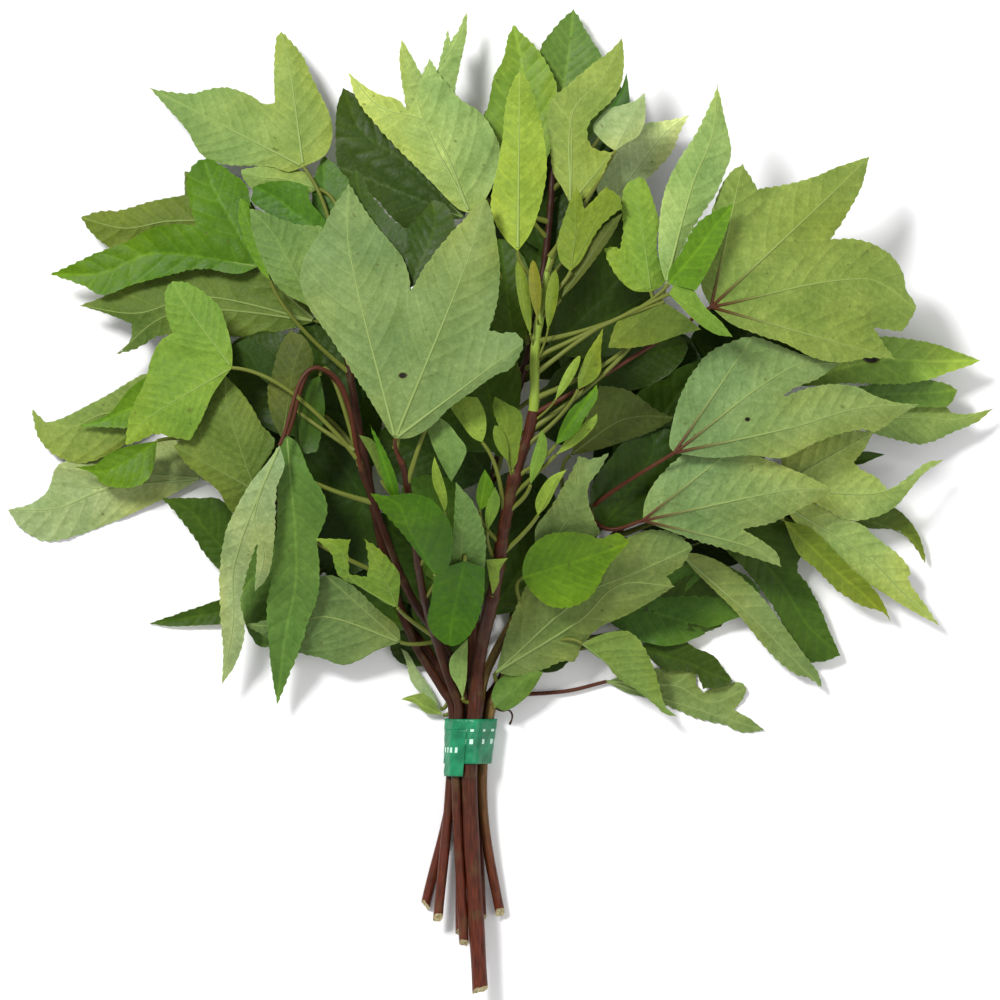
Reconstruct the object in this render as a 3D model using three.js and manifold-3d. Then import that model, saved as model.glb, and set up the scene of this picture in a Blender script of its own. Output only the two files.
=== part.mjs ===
// A bunch of leafy stems of the roselle and kenaf kind, sold as jute leaves. Nine stems, each with its
// leaves, are tied near their cut ends with a green tape, and the bunch lies on a table.
// Millimetres, +Z up, the table is z = 0. The stems run along Y, cut ends at -Y and leaf tips at +Y.
import * as THREE from "three";
import Module from "manifold-3d";

const wasm = await Module();
wasm.setup();

// Sizes of the whole bunch as it lies
const CROWN_HEIGHT = 104;
const RIM_HEIGHT = 30;
const TIE_HEIGHT = 20;
const BUNCH_MIDDLE_Y = 50;
const BUNCH_HALF_WIDTH = 205;
const BUNCH_HALF_LENGTH = 155;
const RISE_START_Y = -100;
const RISE_LENGTH = 115;

// The tie: a tape wound round the stems, with its loose end lapped over it a little lower
const TAPE_TOP_Y = -88;
const TAPE_BOTTOM_Y = -106;
const TAPE_THICKNESS = 0.6;
const TAPE_GAP = 0.5;
const TAPE_TOP_X = -11.6;
const TAPE_BOTTOM_X = -13;
const TAPE_TOP_SPREAD = 1.15;
const TAPE_FACES = 30;
const LAP_TOP_Y = -92;
const LAP_BOTTOM_Y = -111;
const LAP_THICKNESS = 0.5;
const LAP_SUNK = 0.2;
const LAP_START = 1.75;
const LAP_END = 2.95;
const LAP_FACES = 7;
const TIE_MIDDLE_Z = 8;
const HULL_POINTS = 24;

// Blades and leaf stalks
const BLADE_THICKNESS = 0.7;
const STALK_RADIUS = 1.1;
const YOUNG_STALK_RADIUS = 0.8;
const STALK_SHORT = 0.8;
const STALK_SPACING = 6;
const STALK_LEAN = 0.6;
const LEAN_COST = 40;
const CROWD_COST = 30;
const PLACE_STEP = 3;
const YOUNG_LENGTH = 34;
const HEEL_RADIUS = 3;
const YOUNG_HEEL_RADIUS = 2.2;
const HEEL_TURN = 0.62;
const HEEL_SPARE = 0.25;
const FOLD_SLOPE = 0.15;
const WAVE_HEIGHT = 1.2;
const WAVE_LENGTH = 75;
const LONGEST_EDGE = 40;

// A lobe's half width grows as t^RISE and closes as (1 - t)^CLOSE, t being the way from stalk to tip
const LOBE_RISE = 0.9;
const LOBE_CLOSE = 0.72;
const CUT_DEPTH = 0.45;
const CUT_SPREAD = 0.36;

const LEAF_COLOURS = [
  0x6c8f4c, 0x5e8a3c, 0x7f9f62, 0x8aa86c, 0x517a3a, 0x48703a, 0x6f9150, 0x7c9a5e, 0x86a556,
];
const TAPE_COLOUR = 0x1f9a68;

const STEM_SIDES = 6;
const MAIN_STEM_SIDES = 8;
const STALK_SIDES = 4;
const YOUNG_STALK_SIDES = 3;
const STEM_STEP = 24;
const TIE_MARGIN = 5;
const SPREAD_LENGTH = 55;
const STALK_STEP = 20;
const SMALL_LENGTH = 62;
const STEM_TOP_RADIUS = 1.2;
const MAIN_STEM_RADIUS = 3;

// Which face of a leaf is seen from above
const UPPER = 1;
const UNDER = -1;
const TIP = true;

// The nine leafy stems. slot is the place in the tie, across and up; cut is the cut end; knee is a bend
// below the tie; path is the way up from the tie, across and along; level is the height as a share of the
// bunch's height there.
// Each leaf has its level, the face seen from above and its foot. A leaf that shows has its edge, from the
// right of the foot round to the left, with the lobe tips marked. A hidden or tiny leaf has lobes instead,
// as tip x, tip y and width. from is where its stalk leaves the stem, and via is a bend in the stalk.
const STEMS = [
  {
    name: "leafy_stem_1",
    slot: [-4.6, 3.1],
    radius: 2,
    cut: [-30, -163, 2.4],
    level: 0.1,
    path: [[-19, -76], [-31, -58], [-50, -36], [-74, -14], [-98, 6]],
    leaves: [
      { level: 0, face: UNDER, foot: [-60, -22], lobes: [[-118, -14, 26], [-104, 30, 24]] },
      { level: 0.03, face: UPPER, foot: [-55, 5], lobes: [[-92, 62, 28], [-62, 80, 24]] },
      { level: 0.16, face: UPPER, foot: [-40, -50], lobes: [[-76, -38, 28], [-64, -10, 34]] },
      { level: 0.18, face: UPPER, foot: [-84, -12], lobes: [[-110, -44, 28], [-96, -60, 26]] },
      { level: 0.1, face: UPPER, foot: [-28, -66], lobes: [[-44, -54, 14], [-40, -34, 24]] },
      { level: 0.05, face: UPPER, foot: [-104, -44], from: [-60, -27],
        edge: [[-106, -39], [-113, -40], [-122, -43], [-132, -46.3], [-141.7, -49.6, TIP], [-133, -50.8],
          [-120, -50.3], [-108, -49]] },
      { level: 0.1, face: UPPER, foot: [-101, -30], from: [-74, -14],
        edge: [[-104, -14], [-112, 0], [-122, 1], [-136.5, 1, TIP], [-130, -6], [-124, -14], [-119, -21.5],
          [-112, -28.5]] },
      { level: 0.06, face: UNDER, foot: [-120, 9],
        edge: [[-126, 15], [-131, 26], [-140, 24], [-152, 19], [-166, 17], [-178, 14.5, TIP], [-183, 3.5],
          [-190, -1.5], [-198.7, -3.8, TIP], [-193, -11.5], [-184, -16.4], [-172, -14.6], [-158, -9.5],
          [-144, -3.3], [-132, 2.5]] },
      { level: 0.12, face: UNDER, foot: [-132, 38],
        edge: [[-138, 53], [-146, 50], [-155, 44.5], [-165, 39], [-176, 33.5], [-183, 31.3],
          [-188.7, 37, TIP], [-187.5, 29], [-184, 22], [-177, 17], [-168, 15], [-156, 19.5],
          [-148, 25]] },
      { level: 0.17, face: UPPER, foot: [-136, 42],
        edge: [[-141, 51], [-149, 45], [-156, 36.5], [-161, 33], [-171, 30, TIP], [-158, 29.5],
          [-148, 30]] },
      { level: 0.21, face: UPPER, foot: [-138, 24],
        edge: [[-144, 23], [-151, 21.5], [-158, 18.5], [-163, 14.5], [-171, 13.5, TIP], [-163.5, 10.5],
          [-160, 6.5], [-152, 5], [-144, 6.5], [-139.8, 12]] },
      { level: 0.12, face: UPPER, foot: [-23, -86.5], from: [-19, -84],
        edge: [[-25, -83.6], [-27, -79.6], [-30, -77.6], [-36, -78.6], [-40, -80.1, TIP], [-34, -82.1],
          [-30, -85.6]] },
      { level: 0.2, face: UNDER, foot: [-24, -83.6], from: [-20, -80],
        edge: [[-28, -75.6], [-33, -68.6], [-37, -61.6], [-40, -59.6, TIP], [-38, -64.6], [-36, -72.6],
          [-33, -76.6], [-28, -79.6]] },
    ],
  },
  {
    name: "leafy_stem_2",
    slot: [-6.6, 7.4],
    radius: 2,
    cut: [-25, -168, 9],
    level: 0.36,
    path: [[-23, -76], [-35, -56], [-46, -24], [-54, 16], [-61, 56], [-66, 92]],
    leaves: [
      { level: 0.25, face: UNDER, foot: [-80, 38], lobes: [[-137, 60, 24], [-122, 22, 24]] },
      { level: 0.28, face: UPPER, foot: [-54, 0], lobes: [[-78, 36, 30], [-88, 14, 34], [-70, -30, 28]] },
      { level: 0.27, face: UPPER, foot: [-62, 26], lobes: [[-108, 64, 38], [-76, 74, 30]] },
      { level: 0.26, face: UNDER, foot: [-97, 112],
        edge: [[-100, 120], [-115, 130], [-127, 132.5, TIP], [-127, 123], [-140, 120.5], [-153, 117],
          [-162, 116.5], [-169, 114, TIP], [-164, 107], [-155, 101], [-135, 100], [-110, 103]] },
      { level: 0.29, face: UNDER, foot: [-74, 72],
        edge: [[-77, 78], [-92, 92], [-105, 100, TIP], [-120, 98], [-145, 89], [-160, 82],
          [-169, 78.5, TIP], [-158, 75], [-148, 71], [-149, 64], [-154, 59, TIP], [-146, 61],
          [-137, 66], [-120, 66], [-100, 66], [-84, 69]] },
      { level: 0.32, face: UPPER, foot: [-70, 104],
        edge: [[-66, 110], [-62, 118], [-60, 127], [-65, 134], [-71, 138.5, TIP], [-74, 132], [-75.5, 124],
          [-75, 113], [-73, 107]] },
      { level: 0.34, face: UPPER, foot: [-97, 94],
        edge: [[-98, 104], [-100, 118], [-102, 127], [-107, 131], [-113, 135.5], [-119, 137.5, TIP],
          [-124, 134], [-126, 127], [-124, 117], [-122, 110.5], [-131, 111], [-141, 109], [-150, 104],
          [-160, 100.5], [-169, 96.5], [-181, 91, TIP], [-167, 86], [-160, 82.5], [-148, 86.5], [-135, 90],
          [-120, 93], [-105, 91]] },
      { level: 0.36, face: UNDER, foot: [-73, 125],
        edge: [[-76, 130], [-84, 134], [-95, 134.5], [-104, 133, TIP], [-103, 129], [-99, 125], [-90, 124],
          [-80, 122]] },
      { level: 0.38, face: UNDER, foot: [-79, 134],
        edge: [[-71, 138], [-68, 143], [-67.5, 151], [-70, 159], [-75, 169], [-80, 180], [-85, 186],
          [-88, 189, TIP], [-90, 187], [-91, 172], [-90.5, 160], [-95, 159.5], [-101, 163.5],
          [-112, 166.5], [-125, 164], [-141, 166, TIP], [-134, 158], [-126, 149], [-120, 139],
          [-110, 135], [-92, 134], [-85, 132]] },
      { level: 0.4, face: UPPER, foot: [-68, 104],
        edge: [[-70, 112], [-76, 120], [-77, 126], [-83, 128], [-92, 128], [-99, 126, TIP], [-100, 120],
          [-92, 114], [-78, 105]] },
      { level: 0.42, face: UNDER, foot: [-92, 88],
        edge: [[-95, 97], [-98, 105], [-101, 119], [-104.5, 121.5, TIP], [-105, 113], [-101, 101],
          [-96, 92]] },
      { level: 0.45, face: UNDER, foot: [-72, 73],
        edge: [[-68, 82], [-64, 95], [-66, 108], [-72, 110, TIP], [-80, 110.5], [-88, 113], [-95, 116],
          [-100.5, 117, TIP], [-99.5, 108], [-96, 98], [-91, 88], [-84, 81.5], [-77, 78]] },
    ],
  },
  {
    name: "leafy_stem_3",
    slot: [-2.2, 7.4],
    radius: 2,
    cut: [-16, -174, 7],
    level: 0.56,
    path: [[-14, -76], [-22, -60], [-36, -38], [-48, -8], [-58, 20]],
    leaves: [
      { level: 0.5, face: UNDER, foot: [-92, 46],
        edge: [[-90, 56], [-95, 62.4], [-100, 65], [-106.5, 62.4, TIP], [-105, 55.4], [-100, 52.4]] },
      { level: 0.52, face: UPPER, foot: [-72, 50], from: [-58, 20],
        edge: [[-80, 45], [-80, 18.4, TIP], [-73, 19.4], [-71, 28.4], [-70, 38.4]] },
      { level: 0.51, face: UNDER, foot: [-40, -57], from: [-32, -60],
        edge: [[-41, -51], [-50, -43], [-60, -33.5], [-70, -30, TIP], [-80, -36], [-90, -46],
          [-102, -50, TIP], [-96, -54], [-82, -61], [-72, -63.5], [-63, -66.3], [-56, -64], [-50, -60.5]] },
      { level: 0.53, face: UNDER, foot: [-98, 4],
        edge: [[-96, 12], [-91, 20], [-90, 24], [-95, 30], [-99, 37], [-104, 44], [-110, 50, TIP],
          [-114, 47], [-117, 38], [-121, 31], [-126, 26.5], [-130.5, 22, TIP], [-126, 15], [-120, 9.5],
          [-113, 4], [-109, -3], [-106, -6], [-102, -2]] },
      { level: 0.55, face: UNDER, foot: [-87, 24],
        edge: [[-83, 36], [-78, 46], [-74.5, 56], [-78, 65, TIP], [-84, 68], [-88, 62], [-91, 51],
          [-93, 44], [-91.5, 34]] },
      { level: 0.57, face: UPPER, foot: [-85, 26], from: [-58, 20], via: [-71, 52.5],
        edge: [[-88, 22], [-89, 5], [-89.5, -12], [-91, -28], [-93.7, -42], [-93, -58], [-91.5, -72],
          [-89.7, -82.3, TIP], [-85, -71], [-80.5, -60], [-77, -49], [-73, -38], [-72.3, -25], [-73, -16],
          [-69, -5], [-70, 2], [-76, 11.5], [-81, 23]] },
      { level: 0.62, face: UNDER, foot: [-107, 53],
        edge: [[-107, 60], [-109, 69], [-112, 77], [-118, 83], [-125, 87], [-131, 87.5, TIP], [-134, 84],
          [-133.5, 74], [-131, 67], [-136, 64], [-140, 56], [-142, 48], [-147, 38], [-149.5, 29],
          [-150, 22, TIP], [-144, 24], [-138, 26.5], [-130, 25], [-124, 24], [-119, 33], [-115, 42],
          [-111, 48]] },
      { level: 0.68, face: UNDER, foot: [-88, 22], from: [-58, 20], via: [-71, 52.5],
        edge: [[-93, 15], [-99, 8], [-105, -2], [-110, -13], [-112.5, -28], [-112.5, -45], [-111.5, -60],
          [-112, -74, TIP], [-107, -67], [-103.5, -58], [-102.5, -50], [-104, -40], [-101, -28],
          [-97, -16], [-98.5, -36.5, TIP], [-94, -32], [-91.5, -25], [-90, -12], [-89, 5], [-86, 14]] },
    ],
  },
  {
    name: "leafy_stem_4",
    slot: [-4.5, 11.5],
    radius: 2,
    cut: [-14.5, -178, 12],
    level: 0.91,
    path: [[-19, -76], [-25, -58], [-31, -36], [-35, -8], [-38, 12], [-42, 22]],
    leaves: [
      { level: 0.9, face: UPPER, foot: [-36, 84],
        edge: [[-24, 92], [-17, 104], [-19, 113], [-22, 118], [-27, 119.5, TIP], [-32, 113], [-37, 108],
          [-43, 112], [-48, 118], [-52, 123], [-55, 130], [-57.5, 131.5, TIP], [-60, 128], [-60, 118],
          [-52, 100], [-44, 90]] },
      { level: 0.9, face: UNDER, foot: [-24, 33],
        edge: [[-29, 28], [-26, 20], [-22, 12], [-19.3, 7.3, TIP], [-15, 15], [-13.3, 20.5], [-17, 26],
          [-20, 30]] },
      { level: 0.9, face: UNDER, foot: [-47, 8],
        edge: [[-46.5, 15.4], [-48, 20.4], [-51, 24.4], [-56, 26, TIP], [-51.5, 18]] },
      { level: 0.9, face: UNDER, foot: [-41, -43],
        edge: [[-40, -30], [-42.5, -25.5], [-49, -18.5], [-54, -15.3, TIP], [-52.5, -24], [-53, -30.5],
          [-60, -29.5], [-60.5, -20], [-59.5, -15.5], [-74, -15, TIP], [-67.5, -21], [-64.5, -30],
          [-54, -35.5], [-46, -41]] },
      { level: 0.92, face: UPPER, foot: [-41, 0],
        edge: [[-40, 3.4], [-42, 11.4], [-45, 18.4], [-48, 24.4], [-51.5, 30, TIP], [-48, 16.4],
          [-47, 10.4], [-44.5, 3.4]] },
      { level: 0.93, face: UNDER, foot: [-22, -5],
        edge: [[-21, -1.6], [-21, 1.4], [-22, 6.4], [-24, 12.4], [-26, 17.4, TIP], [-27, 12.4],
          [-26.5, 6.4], [-24, 0.4]] },
      { level: 0.92, face: UNDER, foot: [-16, -34], from: [-27, -50],
        edge: [[-7, -34], [-5.5, -18], [-7, -9], [-11, 0], [-15, 4.5], [-17.5, 7.5, TIP], [-18, -2],
          [-19, -14], [-21, -25], [-24, -31]] },
      { level: 0.97, face: UPPER, foot: [-26, -29.5],
        edge: [[-21, -27], [-19, -19], [-19.5, -10], [-23, -4], [-28, 1], [-36, 2.8], [-44, 2],
          [-51.3, 3, TIP], [-47, -4], [-39, -13], [-31, -23.5]] },
      { level: 0.96, face: UPPER, foot: [-14, -24], from: [-27, -50],
        edge: [[-25, -29], [-27.5, -40], [-29, -48.5], [-26, -54.5], [-20, -58.2, TIP], [-14, -56],
          [-9, -48.5], [-6.5, -38], [-6, -27]] },
      { level: 0.97, face: UNDER, foot: [-41.5, 24.5],
        edge: [[-35, 25], [-27, 29.5], [-20, 36.5], [-11, 43], [-2, 49.5], [4, 52], [7.5, 57],
          [9.3, 62.5, TIP], [6, 66.5], [0, 66.5], [-4.5, 67.5], [-1.5, 76], [0, 90], [-1.5, 105],
          [-4, 117], [-6, 120, TIP], [-12, 114], [-20, 105.5], [-29, 94], [-35.5, 83], [-36, 89],
          [-39, 97], [-46, 105.5], [-53, 114.5], [-60, 126, TIP], [-66, 117], [-71, 107], [-77, 98],
          [-79.5, 89], [-76, 77], [-68, 65.5], [-58, 50], [-48, 34], [-43.5, 26.5]] },
    ],
  },
  {
    name: "leafy_stem_5",
    slot: [-0.1, 3.1],
    radius: 2,
    cut: [-15.5, -156, 2.4],
    level: 0.2,
    path: [[-11, -62], [-8, -22], [0, 20], [12, 62], [18, 96], [21, 128], [21, 143]],
    leaves: [
      { level: 0, face: UNDER, foot: [-2, 42], lobes: [[-24, 112, 28], [16, 118, 26]] },
      { level: 0.06, face: UPPER, foot: [14, 82], lobes: [[46, 150, 26], [-4, 160, 24]] },
      { level: 0.3, face: UPPER, foot: [20, 60], lobes: [[62, 84, 30], [50, 108, 28]] },
      { level: 0.24, face: UPPER, foot: [14, 30], lobes: [[52, 56, 28], [44, 30, 18]] },
      { level: 0.26, face: UPPER, foot: [-10, -20], lobes: [[-38, 8, 28], [-34, -24, 22]] },
      { level: 0.32, face: UPPER, foot: [0, 20], lobes: [[-30, 50, 30], [-10, 70, 28]] },
      { level: 0.26, face: UPPER, foot: [-12, -44], lobes: [[-50, -6, 36], [-36, -44, 20]] },
      { level: 0.22, face: UPPER, foot: [-4, -46], lobes: [[22, -8, 32], [8, 14, 28]] },
      { level: 0.2, face: UPPER, foot: [-4, 10], lobes: [[-50, 26, 32], [-36, 46, 28]] },
      { level: 0.1, face: UPPER, foot: [10, 50], lobes: [[60, 96, 40], [44, 78, 30]] },
      { level: 0.15, face: UPPER, foot: [18, 100], lobes: [[26, 152, 26], [2, 142, 22]] },
      { level: 0.12, face: UPPER, foot: [24, 124], lobes: [[48, 168, 20]] },
      { level: 0.16, face: UPPER, foot: [22, 96], lobes: [[60, 126, 24]] },
      { level: 0.3, face: UPPER, foot: [6, 58], lobes: [[0, 106, 22]] },
      { level: 0.18, face: UPPER, foot: [2, -30], lobes: [[16, 12, 26], [24, -16, 22]] },
      { level: 0.24, face: UPPER, foot: [26, 50], lobes: [[76, 63, 26], [44, 78, 26]] },
      { level: 0.08, face: UPPER, foot: [-14, -70], lobes: [[-17, -42, 13]] },
      { level: 0.2, face: UPPER, foot: [22, 148],
        edge: [[31, 155], [38, 168], [41, 178], [38, 184], [34, 190.5], [31.5, 195.5], [29.5, 198, TIP],
          [25, 194], [21.5, 190], [16, 181.5], [18, 172], [18, 160]] },
      { level: 0.2, face: UPPER, foot: [42, 150],
        edge: [[51.5, 158], [51.8, 166], [51, 172, TIP], [48, 164], [44, 158]] },
      { level: 0.26, face: UPPER, foot: [10, 120],
        edge: [[20, 140], [23, 155], [23, 166], [20, 174], [15, 182], [10, 187], [5.5, 191.6, TIP],
          [3, 186], [1, 177], [-2.5, 170.5], [-4.5, 160], [-7, 150], [-2, 135]] },
      { level: 0.28, face: UNDER, foot: [43, 118],
        edge: [[50, 121], [56, 127], [60, 130], [66, 136], [70, 141.5], [72.5, 148], [76, 155, TIP],
          [68, 153], [58, 151.5], [50, 146], [44, 138], [40, 130], [39, 124]] },
      { level: 0.36, face: UPPER, foot: [-14, 113],
        edge: [[-14, 124], [-30, 140], [-45, 155], [-58, 163], [-63, 166, TIP], [-65.5, 158], [-66, 145],
          [-65, 134, TIP], [-58, 127], [-50, 121], [-43, 113], [-37, 108.5], [-30, 109], [-24, 112]] },
      { level: 0.4, face: UNDER, foot: [-22, 140],
        edge: [[-17, 150], [-18, 163], [-16, 175], [-13.5, 187], [-13, 198, TIP], [-17, 189],
          [-20, 184.5], [-21, 190, TIP], [-24, 178], [-26, 170], [-31, 171], [-35, 178],
          [-39.5, 185.5, TIP], [-40.5, 178], [-39, 165], [-36, 152], [-28, 142]] },
      { level: 0.44, face: UNDER, foot: [-12, 115],
        edge: [[-8, 118], [-4, 124], [-0.5, 134], [0, 141], [-3, 149], [-8, 156], [-15, 160.5],
          [-20, 166], [-25, 172], [-28, 178, TIP], [-32, 169], [-35, 160], [-37, 156.5], [-41, 161],
          [-48, 163], [-55, 167], [-61, 172, TIP], [-58, 162], [-51, 152], [-40, 140], [-28, 128],
          [-17, 117]] },
    ],
  },
  {
    name: "leafy_stem_6",
    slot: [4.4, 3.1],
    radius: 2,
    cut: [-7.5, -168, 2.4],
    level: 0.1,
    path: [[-2, -76], [14, -54], [30, -32], [48, -12], [66, 8], [82, 24]],
    leaves: [
      { level: 0, face: UNDER, foot: [52, -26], lobes: [[122, -4, 26], [112, 34, 22]] },
      { level: 0.03, face: UPPER, foot: [40, -8], lobes: [[92, 48, 28], [62, 62, 24]] },
      { level: 0.16, face: UPPER, foot: [52, 4], lobes: [[74, 68, 38]] },
      { level: 0.14, face: UPPER, foot: [34, -36], lobes: [[84, -52, 26], [106, -38, 30]] },
      { level: 0.17, face: UPPER, foot: [6, -64], lobes: [[30, -56, 20], [22, -34, 22]] },
      { level: 0.05, face: UNDER, foot: [43, -73], from: [-3, -80], via: [26, -77],
        edge: [[51, -77.5], [60, -80], [70, -84], [80, -88.3], [90, -90.5], [98, -93.6],
          [106.8, -92.8, TIP], [101, -88], [94.5, -84.5], [98, -80], [99.5, -76, TIP], [97, -73.3],
          [88, -75], [82, -77.5], [79, -73], [79.5, -67, TIP], [70, -67.3], [60, -68], [50, -70.5]] },
      { level: 0.1, face: UPPER, foot: [57, -60],
        edge: [[66, -68], [78, -69], [82, -76], [90, -75], [94, -72.8, TIP], [90, -67.5], [86, -62.5],
          [78, -59], [72, -54], [67, -51.6], [60, -53]] },
      { level: 0.12, face: UPPER, foot: [54, -52],
        edge: [[62, -53], [72, -52], [82, -53], [89, -50.7], [93.5, -45, TIP], [90, -40], [84, -34],
          [80, -30], [74, -31], [66, -37], [58, -44]] },
      { level: 0.12, face: UPPER, foot: [66, 30], lobes: [[132, 72, 26], [112, 96, 24]] },
      { level: 0.14, face: UPPER, foot: [140, -6],
        edge: [[148, -11], [160, -12], [165, -16], [169, -21.5], [172, -26.4, TIP], [170.5, -18.5],
          [167.5, -11.5], [162, -5], [157, -2.5], [148, -4]] },
      { level: 0.12, face: UPPER, foot: [132, 14],
        edge: [[145, 14.5], [150, 16.5], [155.2, 18.6, TIP], [147, 19.8], [138, 18]] },
      { level: 0.16, face: UPPER, foot: [92, -8],
        edge: [[90, -18], [98, -27], [108, -40], [118, -57], [124, -65.5], [131, -64.8],
          [137.3, -62.4, TIP], [133, -53], [129, -43], [124, -33.5], [120, -28], [122, -18], [118, -8],
          [106, -6]] },
    ],
  },
  {
    name: "leafy_stem_7",
    slot: [2.3, 7.2],
    radius: 2,
    cut: [-9.6, -182, 6.4],
    level: 0.34,
    path: [[-5, -68], [8, -44], [24, -20], [44, 0], [70, 14], [98, 24]],
    leaves: [
      { level: 0.25, face: UPPER, foot: [104, 58], lobes: [[146, 98, 22], [160, 82, 18]] },
      { level: 0.28, face: UPPER, foot: [46, 10], lobes: [[76, 48, 28], [92, 58, 26]] },
      { level: 0.26, face: UNDER, foot: [138, 32],
        edge: [[150, 27], [160, 24.3], [168, 22.6], [174, 23.5], [182, 27.3], [192, 31.5],
          [198.7, 37, TIP], [189, 35], [182, 35.5], [179, 38.5], [170, 41], [155, 40]] },
      { level: 0.3, face: UPPER, foot: [130, 41],
        edge: [[150, 38], [172, 37.5], [180, 38], [183, 41.5], [184, 44.5, TIP], [180, 47], [172, 48.5],
          [160, 48], [145, 46]] },
      { level: 0.34, face: UPPER, foot: [112, 46],
        edge: [[125, 46], [140, 47], [160, 46.7], [172, 48.5], [182, 52], [191, 55], [193.3, 56.5, TIP],
          [185, 59.5], [175, 63], [163, 65.2], [150, 66], [135, 62], [120, 54]] },
      { level: 0.34, face: UNDER, foot: [72, -21],
        edge: [[78, -28], [86, -36], [95, -45], [104, -56], [112, -65], [119, -70], [125, -72],
          [130.3, -76, TIP], [128, -69], [122, -61], [114, -50], [107, -40.5], [98, -31.5], [89, -25],
          [80, -21.5]] },
      { level: 0.37, face: UPPER, foot: [114, -8],
        edge: [[120, -21.5], [127, -27.5], [136, -36.5], [146, -42.5], [154, -45], [157.5, -49, TIP],
          [155, -42.5], [150, -35], [140, -26], [126, -12]] },
      { level: 0.39, face: UNDER, foot: [114, -2],
        edge: [[118, -8], [127, -17.5], [141, -28.5], [153, -36.5], [166, -44.5], [177.2, -50.5, TIP],
          [171, -41.5], [164.5, -31.5], [165.5, -28.5], [160, -21.5], [151, -14.5], [146, -10],
          [134, -5], [120, 2]] },
      { level: 0.42, face: UNDER, foot: [112, 6],
        edge: [[128, -2], [140, -8], [150, -7], [159, -2.5], [165, 4.5], [171, 11.5], [178.5, 16.4, TIP],
          [172, 15.5], [164, 9.5], [156, 4], [151, 9.5], [145, 12.5], [142, 15.5], [146, 20],
          [150, 27.5, TIP], [138, 28], [124, 22], [113, 17]] },
    ],
  },
  {
    name: "leafy_stem_8",
    slot: [6.5, 7.4],
    radius: 2,
    cut: [0, -166, 4.2],
    knee: [-5.4, -137, 6.6],
    level: 0.5,
    path: [[1, -74], [12, -50], [24, -24], [36, -2]],
    leaves: [
      { level: 0.52, face: UNDER, foot: [-2, -83], from: [-3, -86],
        edge: [[2.2, -84.7], [9.9, -80], [13.7, -75.4], [17.5, -69, TIP], [11, -68], [4, -69],
          [-1.4, -73.2], [-3.4, -79]] },
      { level: 0.5, face: UPPER, foot: [40, -12],
        edge: [[52, -10], [64, -2], [72, 12, TIP], [70, 26], [60, 32, TIP], [50, 24.5], [44, 17], [38, 9],
          [36, 0]] },
      { level: 0.57, face: UNDER, foot: [-1.5, -69],
        edge: [[6, -70.6], [17.6, -68], [24, -65], [30, -64.5], [33, -58.5], [40, -51], [50, -46.5],
          [60, -41], [70, -34.5, TIP], [67, -30.5], [73, -26], [77.3, -18.5, TIP], [70, -13],
          [58, -12], [45, -18], [30, -24], [15, -29.5], [9, -37], [2.6, -53]] },
      { level: 0.53, face: UNDER, foot: [28, 18],
        edge: [[40, 20.5], [52, 24.5], [62, 28], [70, 33, TIP], [63, 36], [57, 40.5], [50, 44.5],
          [40, 46, TIP], [37, 40], [34, 32]] },
      { level: 0.6, face: UNDER, foot: [16, -24],
        edge: [[28, -20], [40, -13], [38, -8], [35.5, -1], [35.5, 6], [40, 12.5], [43.5, 19, TIP],
          [36, 16.5], [31.5, 18, TIP], [27, 9], [20, -3], [14, -12]] },
      { level: 0.65, face: UNDER, foot: [33, -57.5],
        edge: [[37, -61.5], [42, -65], [47, -71], [55, -76.5], [62, -82], [66, -85.8], [71.2, -87, TIP],
          [66.5, -82.5], [64, -74], [61, -65], [57, -57.5], [52.5, -53], [46, -52.5], [39, -54.5]] },
      { level: 0.6, face: UNDER, foot: [57, -8], from: [30, -14], via: [44, -11.5],
        edge: [[66, -11.5], [80, -16.5], [95, -21], [105, -24], [112.8, -26.6, TIP], [111, -21],
          [104, -15.5], [97, -11.5], [109, -9], [121, -3], [131, 2.2], [133, 4.5, TIP], [124, 9.5],
          [112, 14.5], [101, 19.3], [97.5, 24.5, TIP], [93, 26.8], [83, 25], [73, 18.5], [63, 9],
          [58, 0]] },
      { level: 0.67, face: UPPER, foot: [9, -31],
        edge: [[13, -37], [19, -42], [26, -43.2], [33, -41], [38, -36.5], [42, -28.5], [46.5, -22.5],
          [51.7, -16.7, TIP], [47.5, -13], [44, -13.7], [40, -15.2], [34, -13.2], [26, -12.5], [18, -14],
          [12, -19], [9.3, -25]] },
      { level: 0.66, face: UNDER, foot: [69.5, 19], from: [36, -2], via: [50, 7],
        edge: [[85, 17], [100, 18], [113, 17], [124, 22], [134, 26], [145, 28.5], [150, 27.5], [155, 30],
          [160, 34], [168, 38.4, TIP], [158, 39.5], [150, 42], [143, 45.5], [134, 46.6], [124, 45.3],
          [113, 41.5], [119, 45.5], [127, 48.5], [136, 55, TIP], [122, 58], [110, 62.5],
          [101, 65.5, TIP], [94, 64], [84, 59.5], [77, 51.5], [72, 42], [69, 32], [67.5, 22]] },
    ],
  },
  {
    name: "leafy_stem_9",
    slot: [1.1, 13.1],
    radius: 3.2,
    cut: [-8, -197, 12],
    level: 0.8,
    path: [[-9, -66], [-2, -34], [4, 2], [13, 34], [14, 60], [17, 80], [20, 98]],
    leaves: [
      { level: 0.73, face: UNDER, foot: [46, 139.5],
        edge: [[50, 142.5], [55, 145.5], [57.8, 151], [58.2, 157], [58, 163, TIP], [54, 160], [48, 158],
          [43, 156.5], [38.5, 152], [37, 149], [39, 145.5], [42.5, 142]] },
      { level: 0.77, face: UNDER, foot: [28, 118],
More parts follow.
